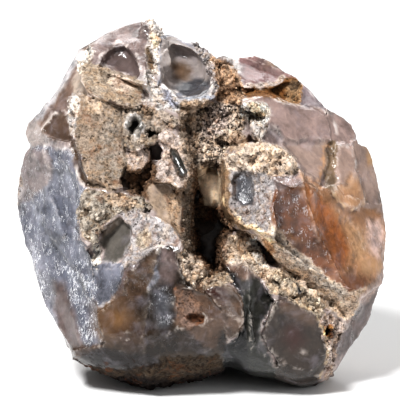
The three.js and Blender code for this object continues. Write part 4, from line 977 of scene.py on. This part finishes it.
# They are strewn over the skin as it was before it was thinned.
crumbly = np.full(count, 0.1)
for name, *_, outline in patches:
    if name in CRUMBLY:
        crumbly = np.maximum(crumbly, inside(on_paper(spots)[0], outline, 3))
crumbly *= ramp(marks[:, 0], 0.75, 1) * front
picked = chance.choice(count, CRUMBS, replace=False, p=crumbly / crumbly.sum())
sizes = np.minimum(CRUMB_RADIUS * chance.lognormal(0, 0.35, CRUMBS), LARGEST_CRUMB)
turns = np.linalg.qr(chance.normal(size=(CRUMBS, 3, 3)))[0]
squashed = lump[None] * chance.uniform(0.6, 1.2, (CRUMBS, 1, 3))
squashed = squashed * chance.uniform(0.75, 1.2, (CRUMBS, len(lump), 1))
grains = squashed @ turns * sizes[:, None, None]
centres = spots[picked] + ways[picked] * (sizes * chance.uniform(-0.3, 0.3, CRUMBS))[:, None]
grains = ((grains + centres[:, None]) * MM).reshape(-1, 3)
faces = (sides[None] + len(lump) * np.arange(CRUMBS)[:, None, None]).reshape(-1, 3)
crumbs.data.clear_geometry()
crumbs.data.from_pydata(grains.tolist(), [], faces.tolist())
crumbs.data.update()
each = np.repeat(picked, len(lump))
lightness = np.repeat(chance.uniform(0.55, 1.7, CRUMBS), len(lump))
keep(crumbs, "tint", np.clip(linear(colour)[each] * lightness[:, None], 0, 0.95))
keep(crumbs, "sand", np.ones(len(each)))
keep(crumbs, "frost_and_glint", np.zeros(len(each)))
keep(crumbs, "pepper", marks[each, 2])
keep(crumbs, "ridge", np.zeros(len(each)))
# The crumbs take the painted shade of the hollows they lie in.
keep(crumbs, "hollow", ramp(hollow, 0.0, 0.9)[each])
crumbs.data.materials.append(stone_finish)
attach(crumbs, "root")
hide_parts("rough_agate")

# ---- Studio ----
# A pale floor under soft light from the upper left. The camera stands a long way in front and looks
# down by the same angle as the paper leans.
bpy.ops.mesh.primitive_plane_add(size=6, location=(0, 0, 0))
floor = bpy.context.object
floor.name = "floor"
floor_paint = bpy.data.materials.new("pale_floor")
floor_paint.use_nodes = True
floor_shader = floor_paint.node_tree.nodes["Principled BSDF"]
floor_shader.inputs["Base Color"].default_value = (0.85, 0.85, 0.85, 1)
floor_shader.inputs["Roughness"].default_value = 0.9
floor.data.materials.append(floor_paint)

world = bpy.data.worlds.new("studio")
world.use_nodes = True
sky = world.node_tree.nodes["Background"]
sky.inputs["Color"].default_value = (1, 1, 1, 1)
sky.inputs["Strength"].default_value = 0.25
bpy.context.scene.world = world
bpy.context.scene.view_settings.view_transform = "Standard"
bpy.context.scene.view_settings.look = "Medium High Contrast"


def soft_light(name, spot, size, power):
    """A square lamp that faces the stone."""
    bpy.ops.object.light_add(type="AREA", location=spot)
    light = bpy.context.object
    light.name = name
    light.data.size = size
    light.data.energy = power
    light.rotation_euler = (Vector((0, 0, 0.04)) - Vector(spot)).to_track_quat("-Z", "Y").to_euler()


soft_light("key", (-0.3, -0.5, 0.8), 0.2, 11.5)
soft_light("fill", (0.6, -0.7, 0.4), 0.5, 2)

bpy.ops.object.light_add(type="AREA", location=(0, 1.8, 1.4))
backdrop_light = bpy.context.object
backdrop_light.name = "backdrop"
backdrop_light.data.size = 2
backdrop_light.data.energy = 40

camera = bpy.data.objects.new("camera", bpy.data.cameras.new("camera"))
bpy.context.scene.collection.objects.link(camera)
camera.data.lens = 300
camera.data.sensor_width = 36
camera.location = (-0.00043, -0.8276, 0.2199)
camera.rotation_euler = (math.pi / 2 - LEAN, 0, 0)
camera.data.clip_start = 0.05
bpy.context.scene.camera = camera
